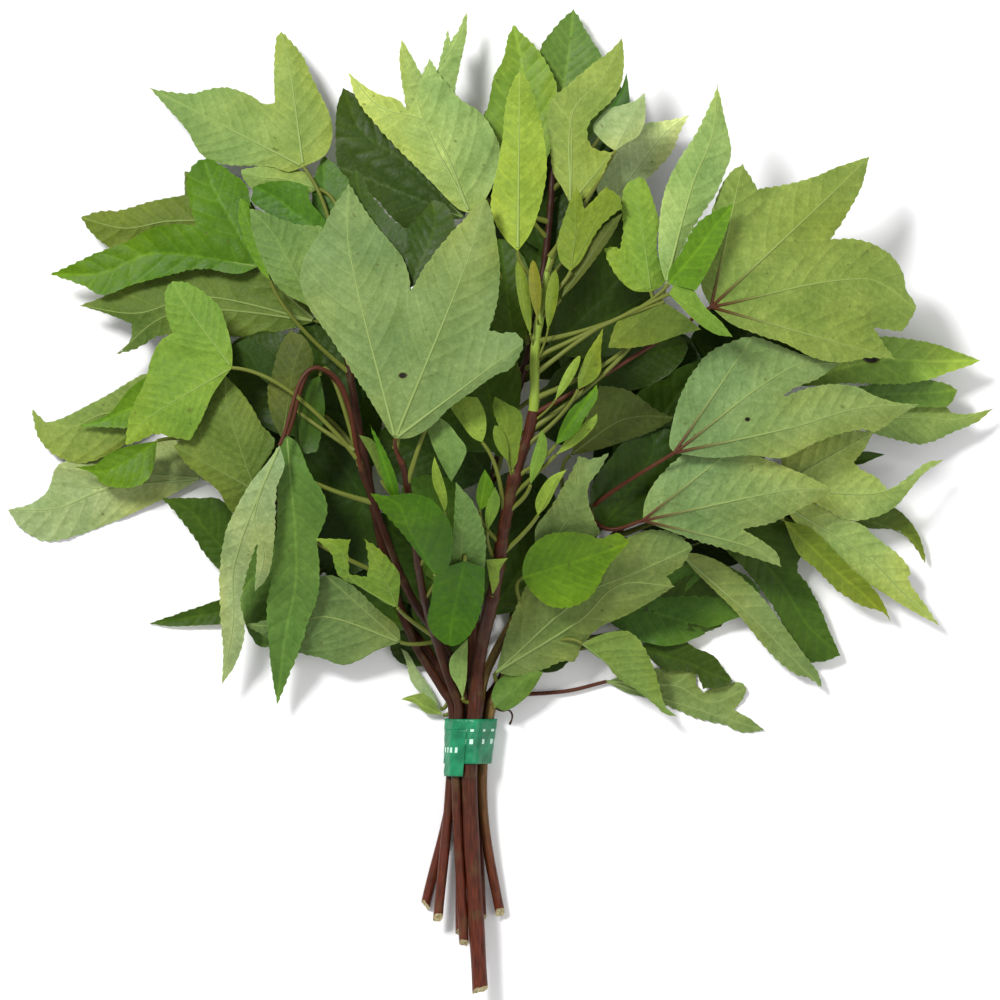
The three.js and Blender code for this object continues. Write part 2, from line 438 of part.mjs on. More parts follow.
        edge: [[36, 122], [41, 130], [45, 139, TIP], [37, 141], [35, 148], [38, 153.5], [44, 159],
          [47.5, 164], [49.5, 172], [49.6, 180], [49, 185.6, TIP], [44, 180], [36, 174], [28, 167],
          [21, 160.5, TIP], [18.8, 153], [19.8, 144], [21, 131], [24.5, 125]] },
      { level: 0.76, face: UNDER, foot: [84, 77], from: [13, 34], via: [44, 51.5],
        edge: [[92, 70.5], [103, 66], [114, 62.5], [125, 57], [136, 55], [147, 57], [158, 56.5, TIP],
          [154, 62], [149.5, 69], [156, 68.3], [161, 68], [164, 72], [166.5, 77, TIP], [165, 81],
          [162.8, 84], [161.5, 91], [157, 98], [150, 102.5], [141, 104.8], [132.5, 104.5],
          [139, 114.5], [145, 126], [148.2, 138, TIP], [136, 134], [124, 129], [112, 126],
          [103, 124.5], [100, 129.5], [97, 134.5, TIP], [91, 130], [85, 117], [81, 100], [80, 86]] },
      { level: 0.78, face: UNDER, foot: [60, 83],
        edge: [[65, 86], [66, 92], [63, 97], [62.5, 104], [63.5, 110], [61, 120], [58, 127.5],
          [55.5, 129, TIP], [50, 125.5], [48.5, 118], [49, 107], [47.5, 100], [45, 101],
          [41.5, 100.5, TIP], [43, 95], [47, 88.5], [53, 83.5]] },
      { level: 0.8, face: UNDER, foot: [66, 86],
        edge: [[70, 95], [74, 103], [80, 113], [86, 122], [90, 131], [92.5, 139], [91.3, 147],
          [89.5, 155], [87.2, 166.5, TIP], [84, 158.5], [78, 146.5], [72, 137], [67, 127.5],
          [64.3, 118], [63, 104], [63.5, 95]] },
      { level: 0.84, face: UPPER, foot: [67, 86],
        edge: [[78, 83.5], [82, 90], [86, 98], [90, 107], [93, 118, TIP], [86, 115.5], [78, 110],
          [72, 99], [67, 91]] },
      { level: 0.86, face: UNDER, foot: [67, 82], from: [15, 56], via: [40, 69],
        edge: [[71, 78], [78, 71], [86, 66], [92.5, 65, TIP], [88, 71], [82, 76.5], [77, 84],
          [76, 87.5], [70, 87.5]] },
      { level: 0.85, face: UNDER, foot: [65, 79], from: [15, 56], via: [40, 69],
        edge: [[60, 78.5], [52, 76], [47, 72], [44, 65], [43, 60.5, TIP], [52, 60.5], [62, 62.5],
          [72, 66], [80, 68], [74, 73]] },
      { level: 0.84, face: UNDER, foot: [28, 91],
        edge: [[32, 95], [35, 100.5], [38, 106], [43, 112], [48.5, 116, TIP], [47.5, 121],
          [42, 125, TIP], [37, 119.5], [33.5, 116], [32.5, 120], [30.5, 125, TIP], [27.5, 118],
          [24, 108], [22.8, 101], [24, 95]] },
      { level: 0.82, face: UNDER, foot: [24, 80],
        edge: [[30, 86], [38, 96], [46, 108], [48.8, 114.5, TIP], [42, 110], [34, 100], [27, 88]] },
      { level: 0.86, face: UNDER, foot: [7, 99],
        edge: [[12, 106], [16, 117], [18.5, 130], [18, 142], [15, 157], [12, 166], [8, 172.5, TIP],
          [4, 165], [2, 157], [1, 145], [-1, 133], [-3.5, 121], [-3, 113], [2, 104]] },
      { level: 0.85, face: UNDER, foot: [12, 66], lobes: [[7, 96, 5]] },
      { level: 0.87, face: UNDER, foot: [15, 72], lobes: [[13, 96, 5]] },
      { level: 0.86, face: UNDER, foot: [19, 68], lobes: [[22, 92, 5]] },
      { level: 0.86, face: UNDER, foot: [22, 40], lobes: [[32, 58, 4]] },
      { level: 0.84, face: UNDER, foot: [31, 44],
        edge: [[37, 47.4], [40, 51.4], [40, 58.4], [41, 68.4, TIP], [37, 62.4], [34, 57.4], [31, 49.4]] },
      { level: 0.86, face: UPPER, foot: [22, 22],
        edge: [[30, 26.4], [34, 33.4], [38.5, 40.4], [38.5, 46, TIP], [33, 40.4], [28, 36.4], [24, 29]] },
      { level: 0.84, face: UNDER, foot: [22, 18],
        edge: [[29, 21.4], [35, 26.4], [38.5, 31.4], [38.5, 34.4, TIP], [33, 30.4], [27, 25]] },
      { level: 0.87, face: UNDER, foot: [12, 6],
        edge: [[16, 12.4], [18.5, 18.4], [18.5, 24.4], [16.5, 28, TIP], [15, 24.4], [12, 14]] },
      { level: 0.88, face: UNDER, foot: [15, -6],
        edge: [[19, -1.6], [23, 6.4], [26.5, 12.4, TIP], [20, 9.4], [16, 4.4], [14, -1]] },
      { level: 0.84, face: UNDER, foot: [-7, 23],
        edge: [[-5.5, 28], [-6, 35], [-9, 41], [-16, 41], [-20.5, 38, TIP], [-15, 30], [-11, 25]] },
      { level: 0.84, face: UNDER, foot: [3, 16], lobes: [[-2, 30, 5]] },
      { level: 0.82, face: UNDER, foot: [5, 12],
        edge: [[7, 16], [8, 23.4], [9, 30.4], [8, 35.4], [3, 38.4], [-2, 41.4, TIP], [-3, 37.4],
          [-1, 30.4], [1, 23.4], [3, 16]] },
      { level: 0.83, face: UPPER, foot: [-8, -4],
        edge: [[-4, -0.6], [-2.5, 5.4], [-6, 12.4, TIP], [-8, 8.4], [-9.5, 1.4]] },
      { level: 0.85, face: UNDER, foot: [-5, -12],
        edge: [[-1, -5], [0, 0.4], [-2, 5.4, TIP], [-5, -0.6], [-6, -7]] },
      { level: 0.86, face: UNDER, foot: [-3, -38],
        edge: [[-0.5, -32.6], [0, -27.6], [3, -23, TIP], [-5.5, -23.6, TIP], [-4.5, -29.6]] },
      { level: 0.78, face: UNDER, foot: [-15, -79.6],
        edge: [[-13.5, -72], [-13, -61.6], [-13, -55.6, TIP], [-16, -58.6], [-20, -63.6], [-20, -69.6],
          [-17, -75]] },
    ],
  },
];

const clamp = THREE.MathUtils.clamp;
const lerp = THREE.MathUtils.lerp;

// Height of the bunch's top above the table at a place seen from above
function bunchTop(x, y) {
  const off = (x / BUNCH_HALF_WIDTH) ** 2 + ((y - BUNCH_MIDDLE_Y) / BUNCH_HALF_LENGTH) ** 2;
  const dome = RIM_HEIGHT + (CROWN_HEIGHT - RIM_HEIGHT) * (1 - Math.min(off, 1));
  const rise = THREE.MathUtils.smoothstep(y, RISE_START_Y, RISE_START_Y + RISE_LENGTH);
  return lerp(TIE_HEIGHT, dome, rise);
}

function levelHeight(level, x, y) {
  return lerp(BLADE_THICKNESS / 2, bunchTop(x, y), level);
}

// Lobe outline, as seen from the leaf's foot
function lobeWidthRatio(lobe, t) {
  const peak = LOBE_RISE / (LOBE_RISE + LOBE_CLOSE);
  const scale = 1 / (peak ** LOBE_RISE * (1 - peak) ** LOBE_CLOSE);
  return (lobe.width / 2 / lobe.length) * scale * t ** (LOBE_RISE - 1) * (1 - t) ** LOBE_CLOSE;
}

function lobeReach(lobe, turn) {
  const slope = Math.tan(Math.min(Math.abs(turn), 1.45));
  let low = 0.001;
  let high = 1;
  for (let step = 0; step < 24; step += 1) {
    const t = (low + high) / 2;
    if (lobeWidthRatio(lobe, t) > slope) {
      low = t;
    } else {
      high = t;
    }
  }
  return (low * lobe.length) / Math.cos(Math.atan(slope));
}

function turnBetween(a, b) {
  return Math.atan2(Math.sin(a - b), Math.cos(a - b));
}

// Lobes of a leaf in order round its foot
function measureLobes(leaf) {
  const tips = leaf.lobes ?? leaf.edge.filter(([, , tip]) => tip);
  const lobes = tips.map(([x, y, width]) => {
    const dx = x - leaf.foot[0];
    const dy = y - leaf.foot[1];
    return { tip: [x, y], width, length: Math.hypot(dx, dy), angle: Math.atan2(dy, dx) };
  });
  const first = lobes[0].angle;
  lobes.forEach((lobe) => {
    lobe.side = turnBetween(lobe.angle, first);
  });
  return lobes.sort((a, b) => a.side - b.side);
}

function measureLeaf(leaf) {
  const lobes = measureLobes(leaf);
  const length = Math.max(...lobes.map((lobe) => lobe.length));
  const young = length < YOUNG_LENGTH;
  const ahead = lobes.reduce((sum, { tip }) => sum.add(new THREE.Vector2(...tip)), new THREE.Vector2());
  const inward = ahead.divideScalar(lobes.length).sub(new THREE.Vector2(...leaf.foot)).normalize();
  return {
    ...leaf,
    lobes,
    length,
    inward,
    stalkRadius: young ? YOUNG_STALK_RADIUS : STALK_RADIUS,
    stalkSides: young ? YOUNG_STALK_SIDES : STALK_SIDES,
    heel: young ? YOUNG_HEEL_RADIUS : HEEL_RADIUS,
  };
}

// Cuts between neighbouring lobes
function lobeCuts(lobes) {
  return lobes.slice(1).map((right, i) => {
    const left = lobes[i];
    const span = right.side - left.side;
    let low = 0;
    let high = span;
    for (let step = 0; step < 24; step += 1) {
      const turn = (low + high) / 2;
      if (lobeReach(left, turn) > lobeReach(right, span - turn)) {
        low = turn;
      } else {
        high = turn;
      }
    }
    const wanted = CUT_DEPTH * Math.min(left.length, right.length);
    const depth = Math.max(0, 1 - wanted / lobeReach(left, low));
    return { side: left.side + low, depth, spread: CUT_SPREAD * span };
  });
}

// Edge of a leaf that is given by its lobes
function lobedEdge({ foot, lobes, length, heel }) {
  const cuts = lobeCuts(lobes);
  const steps = length < SMALL_LENGTH ? [0.68, 0.25] : [0.72, 0.3];
  const sides = cuts.map((cut) => cut.side);
  lobes.forEach((lobe, i) => {
    const below = i > 0 ? cuts[i - 1].side : -Infinity;
    const above = i < cuts.length ? cuts[i].side : Infinity;
    const turns = steps.map((t) => Math.atan(lobeWidthRatio(lobe, t)));
    const wanted = [0, ...turns, ...turns.map((turn) => -turn)].map((turn) => lobe.side + turn);
    const margin = 0.03;
    sides.push(...wanted.filter((side) => side > below + margin && side < above - margin));
  });
  sides.sort((a, b) => a - b);
  return sides.map((side) => {
    const reach = Math.max(...lobes.map((lobe) => lobeReach(lobe, turnBetween(side, lobe.side))));
    const left = cuts.reduce((share, cut) => {
      const near = Math.max(0, 1 - Math.abs(turnBetween(side, cut.side)) / cut.spread);
      return share * (1 - cut.depth * near);
    }, 1);
    const radius = Math.max(reach * left, heel);
    const angle = side + lobes.find((lobe) => lobe.side === 0).angle;
    return [foot[0] + radius * Math.cos(angle), foot[1] + radius * Math.sin(angle)];
  });
}

// Height of a blade: its level in the bunch, folded along its ribs, waved and lifted towards its edge
function bladeHeight(leaf, x, y) {
  const dx = x - leaf.foot[0];
  const dy = y - leaf.foot[1];
  const out = Math.hypot(dx, dy) / leaf.length;
  const ribs = leaf.lobes.map((lobe) => {
    const turn = turnBetween(Math.atan2(dy, dx), lobe.angle);
    return Math.hypot(dx, dy) * Math.abs(Math.sin(clamp(turn, -1.5, 1.5)));
  });
  const fold = leaf.face * FOLD_SLOPE * Math.min(...ribs);
  const swing = ((x + 2 * y) / WAVE_LENGTH) * 2 * Math.PI;
  return levelHeight(leaf.level, x, y) + fold + WAVE_HEIGHT * Math.min(out, 1) * Math.sin(swing);
}

function solidFrom(vertices, triangles) {
  const mesh = new wasm.Mesh({
    numProp: 3,
    vertProperties: new Float32Array(vertices),
    triVerts: new Uint32Array(triangles),
  });
  return new wasm.Manifold(mesh);
}

// Halves the longest inner edge of a triangulated blade until none is longer than the limit
function splitLongEdges(plan, faces, limit) {
  const span = ([a, b]) => Math.hypot(plan[a][0] - plan[b][0], plan[a][1] - plan[b][1]);
  let longest = limit;
  while (longest >= limit) {
    const sharers = new Map();
    faces.forEach((face) => {
      face.forEach((a, k) => {
        const b = face[(k + 1) % 3];
        const key = Math.min(a, b) * 1000 + Math.max(a, b);
        const known = sharers.get(key) ?? [];
        sharers.set(key, [...known, { face, ends: [a, b], far: face[(k + 2) % 3] }]);
      });
    });
    const inner = [...sharers.values()].filter((pair) => pair.length === 2);
    const pair = inner.reduce((best, one) => (span(one[0].ends) > span(best[0].ends) ? one : best));
    longest = span(pair[0].ends);
    if (longest >= limit) {
      const [p, q] = pair[0].ends.map((end) => plan[end]);
      const middle = plan.length;
      plan.push([(p[0] + q[0]) / 2, (p[1] + q[1]) / 2, BLADE_THICKNESS / 2]);
      pair.forEach(({ face, ends: [a, b], far }) => {
        faces.splice(faces.indexOf(face), 1, [a, middle, far], [middle, b, far]);
      });
    }
  }
}

// A blade: its edge filled with triangles, alike on both faces, with a rim between and a thick heel
function bladeSolid(leaf) {
  const edge = leaf.edge ?? lobedEdge(leaf);
  const heelHalf = leaf.stalkRadius + HEEL_SPARE;
  const back = leaf.inward.angle() + Math.PI;
  const plan = edge.map(([x, y]) => [x, y, BLADE_THICKNESS / 2]);
  const [footX, footY] = leaf.foot;
  [back - HEEL_TURN, back + HEEL_TURN].forEach((turn) => {
    plan.push([footX + leaf.heel * Math.cos(turn), footY + leaf.heel * Math.sin(turn), heelHalf]);
  });
  const rim = plan.length;
  plan.push([...leaf.foot, heelHalf]);
  const contour = [...edge, leaf.foot].map(([x, y]) => new THREE.Vector2(x, y));
  const faces = THREE.ShapeUtils.triangulateShape(contour, []).map((face) => {
    return face.map((corner) => (corner === edge.length ? rim : corner));
  });
  faces.push([rim - 3, rim - 2, rim], [rim - 2, rim - 1, rim], [rim - 1, 0, rim]);
  splitLongEdges(plan, faces, LONGEST_EDGE);
  const heights = plan.map(([x, y, half]) => Math.max(bladeHeight(leaf, x, y), half));
  const top = plan.flatMap(([x, y, half], i) => [x, y, heights[i] + half]);
  const bottom = plan.flatMap(([x, y, half], i) => [x, y, heights[i] - half]);
  const under = plan.length;
  const triangles = faces.flatMap(([a, b, c]) => [a, b, c, under + a, under + c, under + b]);
  for (let a = 0; a < rim; a += 1) {
    const b = (a + 1) % rim;
    triangles.push(a, under + a, under + b, a, under + b, b);
  }
  return solidFrom([...top, ...bottom], triangles);
}

// A round rod through points, each with its own radius
function rodSolid(points, radii, sides) {
  const vertices = [];
  const along = points.map((point, i) => {
    const before = points[Math.max(i - 1, 0)];
    const after = points[Math.min(i + 1, points.length - 1)];
    return after.clone().sub(before).normalize();
  });
  points.forEach((point, i) => {
    const across = new THREE.Vector3(along[i].y, -along[i].x, 0).normalize();
    const up = new THREE.Vector3().crossVectors(across, along[i]).normalize();
    for (let k = 0; k < sides; k += 1) {
      const turn = ((k + 0.5) / sides) * 2 * Math.PI;
      const out = across.clone().multiplyScalar(Math.cos(turn)).addScaledVector(up, Math.sin(turn));
      vertices.push(...point.clone().addScaledVector(out, radii[i]).toArray());
    }
  });
  const triangles = [];
  for (let i = 0; i + 1 < points.length; i += 1) {
    for (let k = 0; k < sides; k += 1) {
      const a = i * sides + k;
      const b = i * sides + ((k + 1) % sides);
      triangles.push(a, b + sides, b, a, a + sides, b + sides);
    }
  }
  const last = (points.length - 1) * sides;
  for (let k = 1; k + 1 < sides; k += 1) {
    triangles.push(0, k, k + 1, last, last + k + 1, last + k);
  }
  return solidFrom(vertices, triangles);
}

// Centre of a stem's slot in the tie at a place along the tape
function slotPoint(stem, y) {
  const way = (y - TAPE_BOTTOM_Y) / (TAPE_TOP_Y - TAPE_BOTTOM_Y);
  const spread = lerp(1, TAPE_TOP_SPREAD, way);
  return new THREE.Vector3(lerp(TAPE_BOTTOM_X, TAPE_TOP_X, way) + stem.slot[0] * spread, y, stem.slot[1]);
}

// A stem's centre line from its cut end, straight through the tie and up into the leaves
function stemLine(stem) {
  const tie = [TAPE_BOTTOM_Y - TIE_MARGIN, TAPE_TOP_Y + TIE_MARGIN].map((y) => slotPoint(stem, y));
  const above = stem.path.map(([x, y]) => {
    const free = THREE.MathUtils.smoothstep(y, TAPE_TOP_Y, TAPE_TOP_Y + SPREAD_LENGTH);
    const height = Math.max(levelHeight(stem.level, x, y), stem.radius);
    return new THREE.Vector3(x, y, lerp(stem.slot[1], height, free));
  });
  const below = [stem.cut, stem.knee].filter(Boolean).map((place) => new THREE.Vector3(...place));
  const places = [...below, ...tie, ...above];
  const curve = new THREE.CatmullRomCurve3(places, false, "centripetal");
  const stretches = places.length - 1;
  const line = [places[0]];
  for (let i = 0; i < stretches; i += 1) {
    const steps = Math.max(1, Math.round(places[i].distanceTo(places[i + 1]) / STEM_STEP));
    for (let step = 1; step <= steps; step += 1) {
      line.push(curve.getPoint((i + step / steps) / stretches));
    }
  }
  return line;
}

function stemRadii(stem, line) {
  return line.map((point) => {
    const up = clamp((point.y - TAPE_TOP_Y) / (stem.path.at(-1)[1] - TAPE_TOP_Y), 0, 1);
    return lerp(stem.radius, STEM_TOP_RADIUS, up);
  });
}

// Places along a stem where a stalk may start
function stalkPlaces(line) {
  const places = [];
  line.slice(1).forEach((after, i) => {
    const before = line[i];
    const heading = Math.atan2(after.y - before.y, after.x - before.x);
    const steps = Math.ceil(before.distanceTo(after) / PLACE_STEP);
    for (let step = 0; step < steps; step += 1) {
      places.push({ point: before.clone().lerp(after, step / steps), heading });
    }
  });
  return places.filter(({ point }) => point.y > TAPE_TOP_Y + TIE_MARGIN);
}

// Where a leaf's stalk starts: by the place given, or where it leaves at about the usual angle
function stalkStart(places, taken, leaf) {
  const cost = ({ point, heading }) => {
    const crowd = Math.max(0, ...taken.map((other) => 1 - point.distanceTo(other) / STALK_SPACING));
    if (leaf.from) {
      return Math.hypot(point.x - leaf.from[0], point.y - leaf.from[1]) + CROWD_COST * crowd;
    }
    const dx = leaf.foot[0] - point.x;
    const dy = leaf.foot[1] - point.y;
    const lean = Math.abs(turnBetween(Math.atan2(dy, dx), heading));
    return LEAN_COST * Math.abs(lean - STALK_LEAN) + 0.5 * Math.hypot(dx, dy) + CROWD_COST * crowd;
  };
  const costs = places.map(cost);
  return places[costs.indexOf(Math.min(...costs))].point;
}

function stalkSolid(start, leaf) {
  const { inward, stalkRadius: radius } = leaf;
  const foot = new THREE.Vector2(...leaf.foot);
  const origin = new THREE.Vector2(start.x, start.y);
  const end = foot.clone().addScaledVector(inward, -STALK_SHORT);
  const straightOn = foot.clone().addScaledVector(inward, -0.35 * foot.distanceTo(origin));
  const plan = leaf.via
    ? new THREE.SplineCurve([origin, new THREE.Vector2(...leaf.via), end])
    : new THREE.QuadraticBezierCurve(origin, straightOn, end);
  const steps = clamp(Math.round(plan.getLength() / STALK_STEP), 2, 5);
  const lowest = BLADE_THICKNESS / 2;
  const startLevel = (start.z - lowest) / (bunchTop(start.x, start.y) - lowest);
  const points = plan.getSpacedPoints(steps).map(({ x, y }, i) => {
    const level = lerp(startLevel, leaf.level, i / steps);
    return new THREE.Vector3(x, y, Math.max(levelHeight(level, x, y), radius));
  });
  return rodSolid(points, points.map(() => radius), leaf.stalkSides);
}

function geometryOf(solid) {
  const mesh = solid.getMesh();
  const geometry = new THREE.BufferGeometry();
  const stride = mesh.numProp;
  const count = mesh.vertProperties.length / stride;
  const positions = new Float32Array(count * 3);
  for (let i = 0; i < count; i += 1) {
    positions.set(mesh.vertProperties.subarray(i * stride, i * stride + 3), i * 3);
  }
  geometry.setAttribute("position", new THREE.BufferAttribute(positions, 3));
  geometry.setIndex(new THREE.BufferAttribute(new Uint32Array(mesh.triVerts), 1));
  return geometry;
}

// One leafy stem: the stem, its leaf stalks and its blades in one body
function leafyStem(stem) {
  const line = stemLine(stem);
  const places = stalkPlaces(line);
  const taken = [];
  const sides = stem.radius > MAIN_STEM_RADIUS ? MAIN_STEM_SIDES : STEM_SIDES;
  const pieces = [rodSolid(line, stemRadii(stem, line), sides)];
  stem.leaves.map(measureLeaf).forEach((leaf) => {
    const start = stalkStart(places, taken, leaf);
    taken.push(start);
    pieces.push(stalkSolid(start, leaf), bladeSolid(leaf));
  });
  return pieces.reduce((whole, piece) => whole.add(piece));
}

// Outline round the stems in the tie, seen along them and pushed out by an offset
function tieHull(y, offset) {
  const ring = STEMS.flatMap((stem) => {
    const centre = slotPoint(stem, y);
    return Array.from({ length: HULL_POINTS }, (_, k) => {
      const turn = (k / HULL_POINTS) * 2 * Math.PI;
      const radius = stem.radius + offset;
      return new THREE.Vector2(centre.x + radius * Math.cos(turn), centre.z + radius * Math.sin(turn));
    });
  });
  ring.sort((a, b) => a.x - b.x || a.y - b.y);
  const halfHull = (points) => {
    const hull = [];
    points.forEach((point) => {
      while (hull.length > 1) {
        const [a, b] = [hull.at(-2), hull.at(-1)];
        if ((b.x - a.x) * (point.y - a.y) - (b.y - a.y) * (point.x - a.x) > 0) {
          break;
        }
        hull.pop();
      }
      hull.push(point);
    });
    return hull.slice(0, -1);
  };
  return [...halfHull(ring), ...halfHull([...ring].reverse())];
}

// Points of that outline in given directions from the tie's middle
function tieOutline(y, offset, turns) {
  const hull = tieHull(y, offset);
  const way = (y - TAPE_BOTTOM_Y) / (TAPE_TOP_Y - TAPE_BOTTOM_Y);
  const middle = new THREE.Vector2(lerp(TAPE_BOTTOM_X, TAPE_TOP_X, way), TIE_MIDDLE_Z);
  return turns.map((turn) => {
    const ray = new THREE.Vector2(Math.cos(turn), Math.sin(turn));
    const reaches = hull.map((a, i) => {
      const edge = hull[(i + 1) % hull.length].clone().sub(a);
      const from = a.clone().sub(middle);
      const cross = ray.cross(edge);
      const along = from.cross(ray) / cross;
      const reach = from.cross(edge) / cross;
      return Math.abs(cross) > 1e-9 && along >= -1e-6 && along <= 1 + 1e-6 ? reach : 0;
    });
    const point = middle.clone().addScaledVector(ray, Math.max(...reaches));
    return [point.x, y, point.y];
  });
}

// A band of tape round the tie, closed or with two ends
function bandSolid(bottomY, topY, inner, outer, turns, closed) {
  const loops = [[bottomY, inner], [bottomY, outer], [topY, outer], [topY, inner]];
  const vertices = loops.flatMap(([y, offset]) => tieOutline(y, offset, turns).flat());
  const count = turns.length;
  const triangles = [];
  for (let loop = 0; loop < 4; loop += 1) {
    const here = loop * count;
    const next = ((loop + 1) % 4) * count;
    for (let k = 0; k < count - (closed ? 0 : 1); k += 1) {
      const after = (k + 1) % count;
      triangles.push(here + k, next + after, here + after, here + k, next + k, next + after);
    }
  }
  if (!closed) {
    const [a, b, c, d] = [0, 1, 2, 3].map((loop) => loop * count);
    const end = count - 1;
    triangles.push(a, c, b, a, d, c, a + end, b + end, c + end, a + end, c + end, d + end);
  }
  return solidFrom(vertices, triangles);
}

// The tape once round all the stems, and its loose end lapped over it and hanging a little lower
function tape() {
  const turnsOf = (from, to, count) => {
    return Array.from({ length: count }, (_, k) => lerp(from, to, k / count));
  };
  const outer = TAPE_GAP + TAPE_THICKNESS;
  const wholeTurn = turnsOf(0, 2 * Math.PI, TAPE_FACES);
  const round = bandSolid(TAPE_BOTTOM_Y, TAPE_TOP_Y, TAPE_GAP, outer, wholeTurn, true);
  const lapTurns = [...turnsOf(LAP_START, LAP_END, LAP_FACES), LAP_END];
  const lapInner = outer - LAP_SUNK;
  const lapOuter = outer + LAP_THICKNESS;
  return round.add(bandSolid(LAP_BOTTOM_Y, LAP_TOP_Y, lapInner, lapOuter, lapTurns, false));
}

const bunch = new THREE.Group();
STEMS.forEach((stem, i) => {
  const material = new THREE.MeshStandardMaterial({
    color: LEAF_COLOURS[i],
    roughness: 0.62,
    metalness: 0,
  });
  const mesh = new THREE.Mesh(geometryOf(leafyStem(stem)), material);
  mesh.name = stem.name;
  bunch.add(mesh);
});

const tapeMaterial = new THREE.MeshStandardMaterial({
  color: TAPE_COLOUR,
  roughness: 0.35,
  metalness: 0,
});
const tapeMesh = new THREE.Mesh(geometryOf(tape()), tapeMaterial);
tapeMesh.name = "binding_tape";
bunch.add(tapeMesh);

export default bunch;
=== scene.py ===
"""A bunch of leafy stems of the roselle and kenaf kind, tied with a green tape and seen from above."""

import math

import bpy
import numpy as np
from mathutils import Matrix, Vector
from mathutils.geometry import convex_hull_2d, delaunay_2d_cdt


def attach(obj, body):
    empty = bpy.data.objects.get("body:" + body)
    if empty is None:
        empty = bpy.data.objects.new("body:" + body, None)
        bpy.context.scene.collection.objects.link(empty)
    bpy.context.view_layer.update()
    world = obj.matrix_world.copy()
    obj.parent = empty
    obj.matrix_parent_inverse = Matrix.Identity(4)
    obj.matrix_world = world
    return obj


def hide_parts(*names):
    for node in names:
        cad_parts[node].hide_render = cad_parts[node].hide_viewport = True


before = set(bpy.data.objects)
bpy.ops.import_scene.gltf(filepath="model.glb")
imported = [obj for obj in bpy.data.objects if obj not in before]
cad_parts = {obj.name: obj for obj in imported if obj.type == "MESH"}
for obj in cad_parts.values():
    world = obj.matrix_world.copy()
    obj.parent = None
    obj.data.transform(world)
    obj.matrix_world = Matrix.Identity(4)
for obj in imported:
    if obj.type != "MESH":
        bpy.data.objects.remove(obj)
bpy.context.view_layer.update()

MM = 0.001
TAU = math.tau

# Sizes of the whole bunch as it lies, in millimetres
CROWN_HEIGHT = 104
RIM_HEIGHT = 30
TIE_HEIGHT = 20
BUNCH_MIDDLE_Y = 50
BUNCH_HALF_WIDTH = 205
BUNCH_HALF_LENGTH = 155
RISE_START_Y = -100
RISE_LENGTH = 115

# The tie, its folds and its printed dashes
TAPE_TOP_Y = -88
TAPE_BOTTOM_Y = -106
TAPE_THICKNESS = 0.6
TAPE_GAP = 0.5
TAPE_TOP_X = -11.6
TAPE_BOTTOM_X = -13
TAPE_TOP_SPREAD = 1.15
TAPE_ROWS = 19
TAPE_TURNS = 160
TAPE_DASHED_ROWS = (8, 9, 13)
LAP_TOP_Y = -92
LAP_BOTTOM_Y = -111
LAP_THICKNESS = 0.5
LAP_SUNK = 0.2
LAP_START = 1.75
LAP_END = 2.95
LAP_TURNS = 40
LAP_DASHED_ROWS = (9, 10)
TIE_MIDDLE_Z = 8
TIE_CORNERS = 48
TIE_MARGIN = 5
DASH_FACES = 4
DASH_GAPS = 0.3
CREASE_HEIGHT = 0.14
FINE_CREASE_HEIGHT = 0.05

# Stems, knots and leaf stalks
SPREAD_LENGTH = 55
STEM_STEP = 1.6
STEM_SIDES = 18
STEM_TOP_SIDES = 16
STEM_TOP_RADIUS = 1.2
STEM_TIP_LENGTH = 14
BARK_FADE = 110
KNOT_SWELL = 0.16
KNOT_LENGTH = 2.2
STALK_RADIUS = 1.1
STALK_THICKNESS = 0.85
YOUNG_STALK_RADIUS = 0.5
STALK_STEP = 1.5
STALK_SIDES = 10
STALK_BEND = 0.35
STALK_SPACING = 6
STALK_LEAN = 0.6
LEAN_COST = 40
CROWD_COST = 30
CURL_RADIUS = 0.6
CURL_SIDES = 8

# Blades: their mesh, lobes, teeth, and holes drawn as spots, each a brown rim round painted shadow seen
# through the hole
BLADE_THICKNESS = 0.7
BLADE_HALF = 0.2
LOWEST_MIDDLE = 0.6
YOUNG_LENGTH = 34
GRID_STEP = 1.5
YOUNG_GRID = 0.7
ROW_STEP = 0.87
GRID_SHAKE = 0.18
EDGE_STEP = 1.2
SHARP_TURN = 1.05
LOBE_RISE = 0.9
LOBE_CLOSE = 0.72
LOBE_WIDEST = 0.556
LOBE_REST = 0.444
TOOTH_LENGTH = 3.5
TOOTH_DEPTH = 0.85
TOOTH_MIDDLE = 0.6
SPOT_SIDES = 12
SPOT_RINGS = (0.8, 1.0, 1.3)
SPOT_RIM = 1.2
SPOT_HEART = 0.9

# Blades: how they fold, wave, puff up and ruffle
FOLD_SLOPE = 0.15
WAVE_HEIGHT = 1.2
WAVE_LENGTH = 75
PUFF_HEIGHT = 0.5
PUFF_REACH = 3
RUFFLE_HEIGHT = 0.7

# Main ribs and side veins
VEIN_STEP = 1.4
VEIN_GAP = 0.085
VEIN_GAPS = (4.0, 8.0)
VEIN_CLEAR = 0.45
VEIN_LEAN = 0.85
FIRST_VEIN_LEAN = 1.05
LEAST_LEAN = 0.35
VEIN_BEND = 0.022
VEIN_REACH = 0.55
RIB_PULLS = ((0.5, 0.35), (0.75, 0.85))
RIB_SHIFT = 0.14
LOBE_WIDTH = 0.55
RIB_RADIUS = 0.6
RIB_SIDES = 6
RIB_FADE = 34
PALE_RIB = 0.55
LEAF_TONE_SWING = 0.06

# Sizes of the patterns in leaf, bark, pith and film
# Wide patches of warmer and cooler tone, partly painted shade and light across the leaves
WARMTH_AND_SHADE_SIZE = 60
CLOUD_SIZE = 17
GRAIN_SIZE = 2.4
SPECK_SIZE = 3.3
NET_SIZE = 2.1
MARGIN_WIDTH = 9
STREAK_LENGTH = 7
STREAKS_ROUND = 3.9
LICHEN_SIZE = 9
PITH_SIZE = 1.1
# Clouds on the film: painted shade and light on its wrinkles
WRINKLE_SHADE_SIZE = 6
RELIEF_DEPTH = 0.5

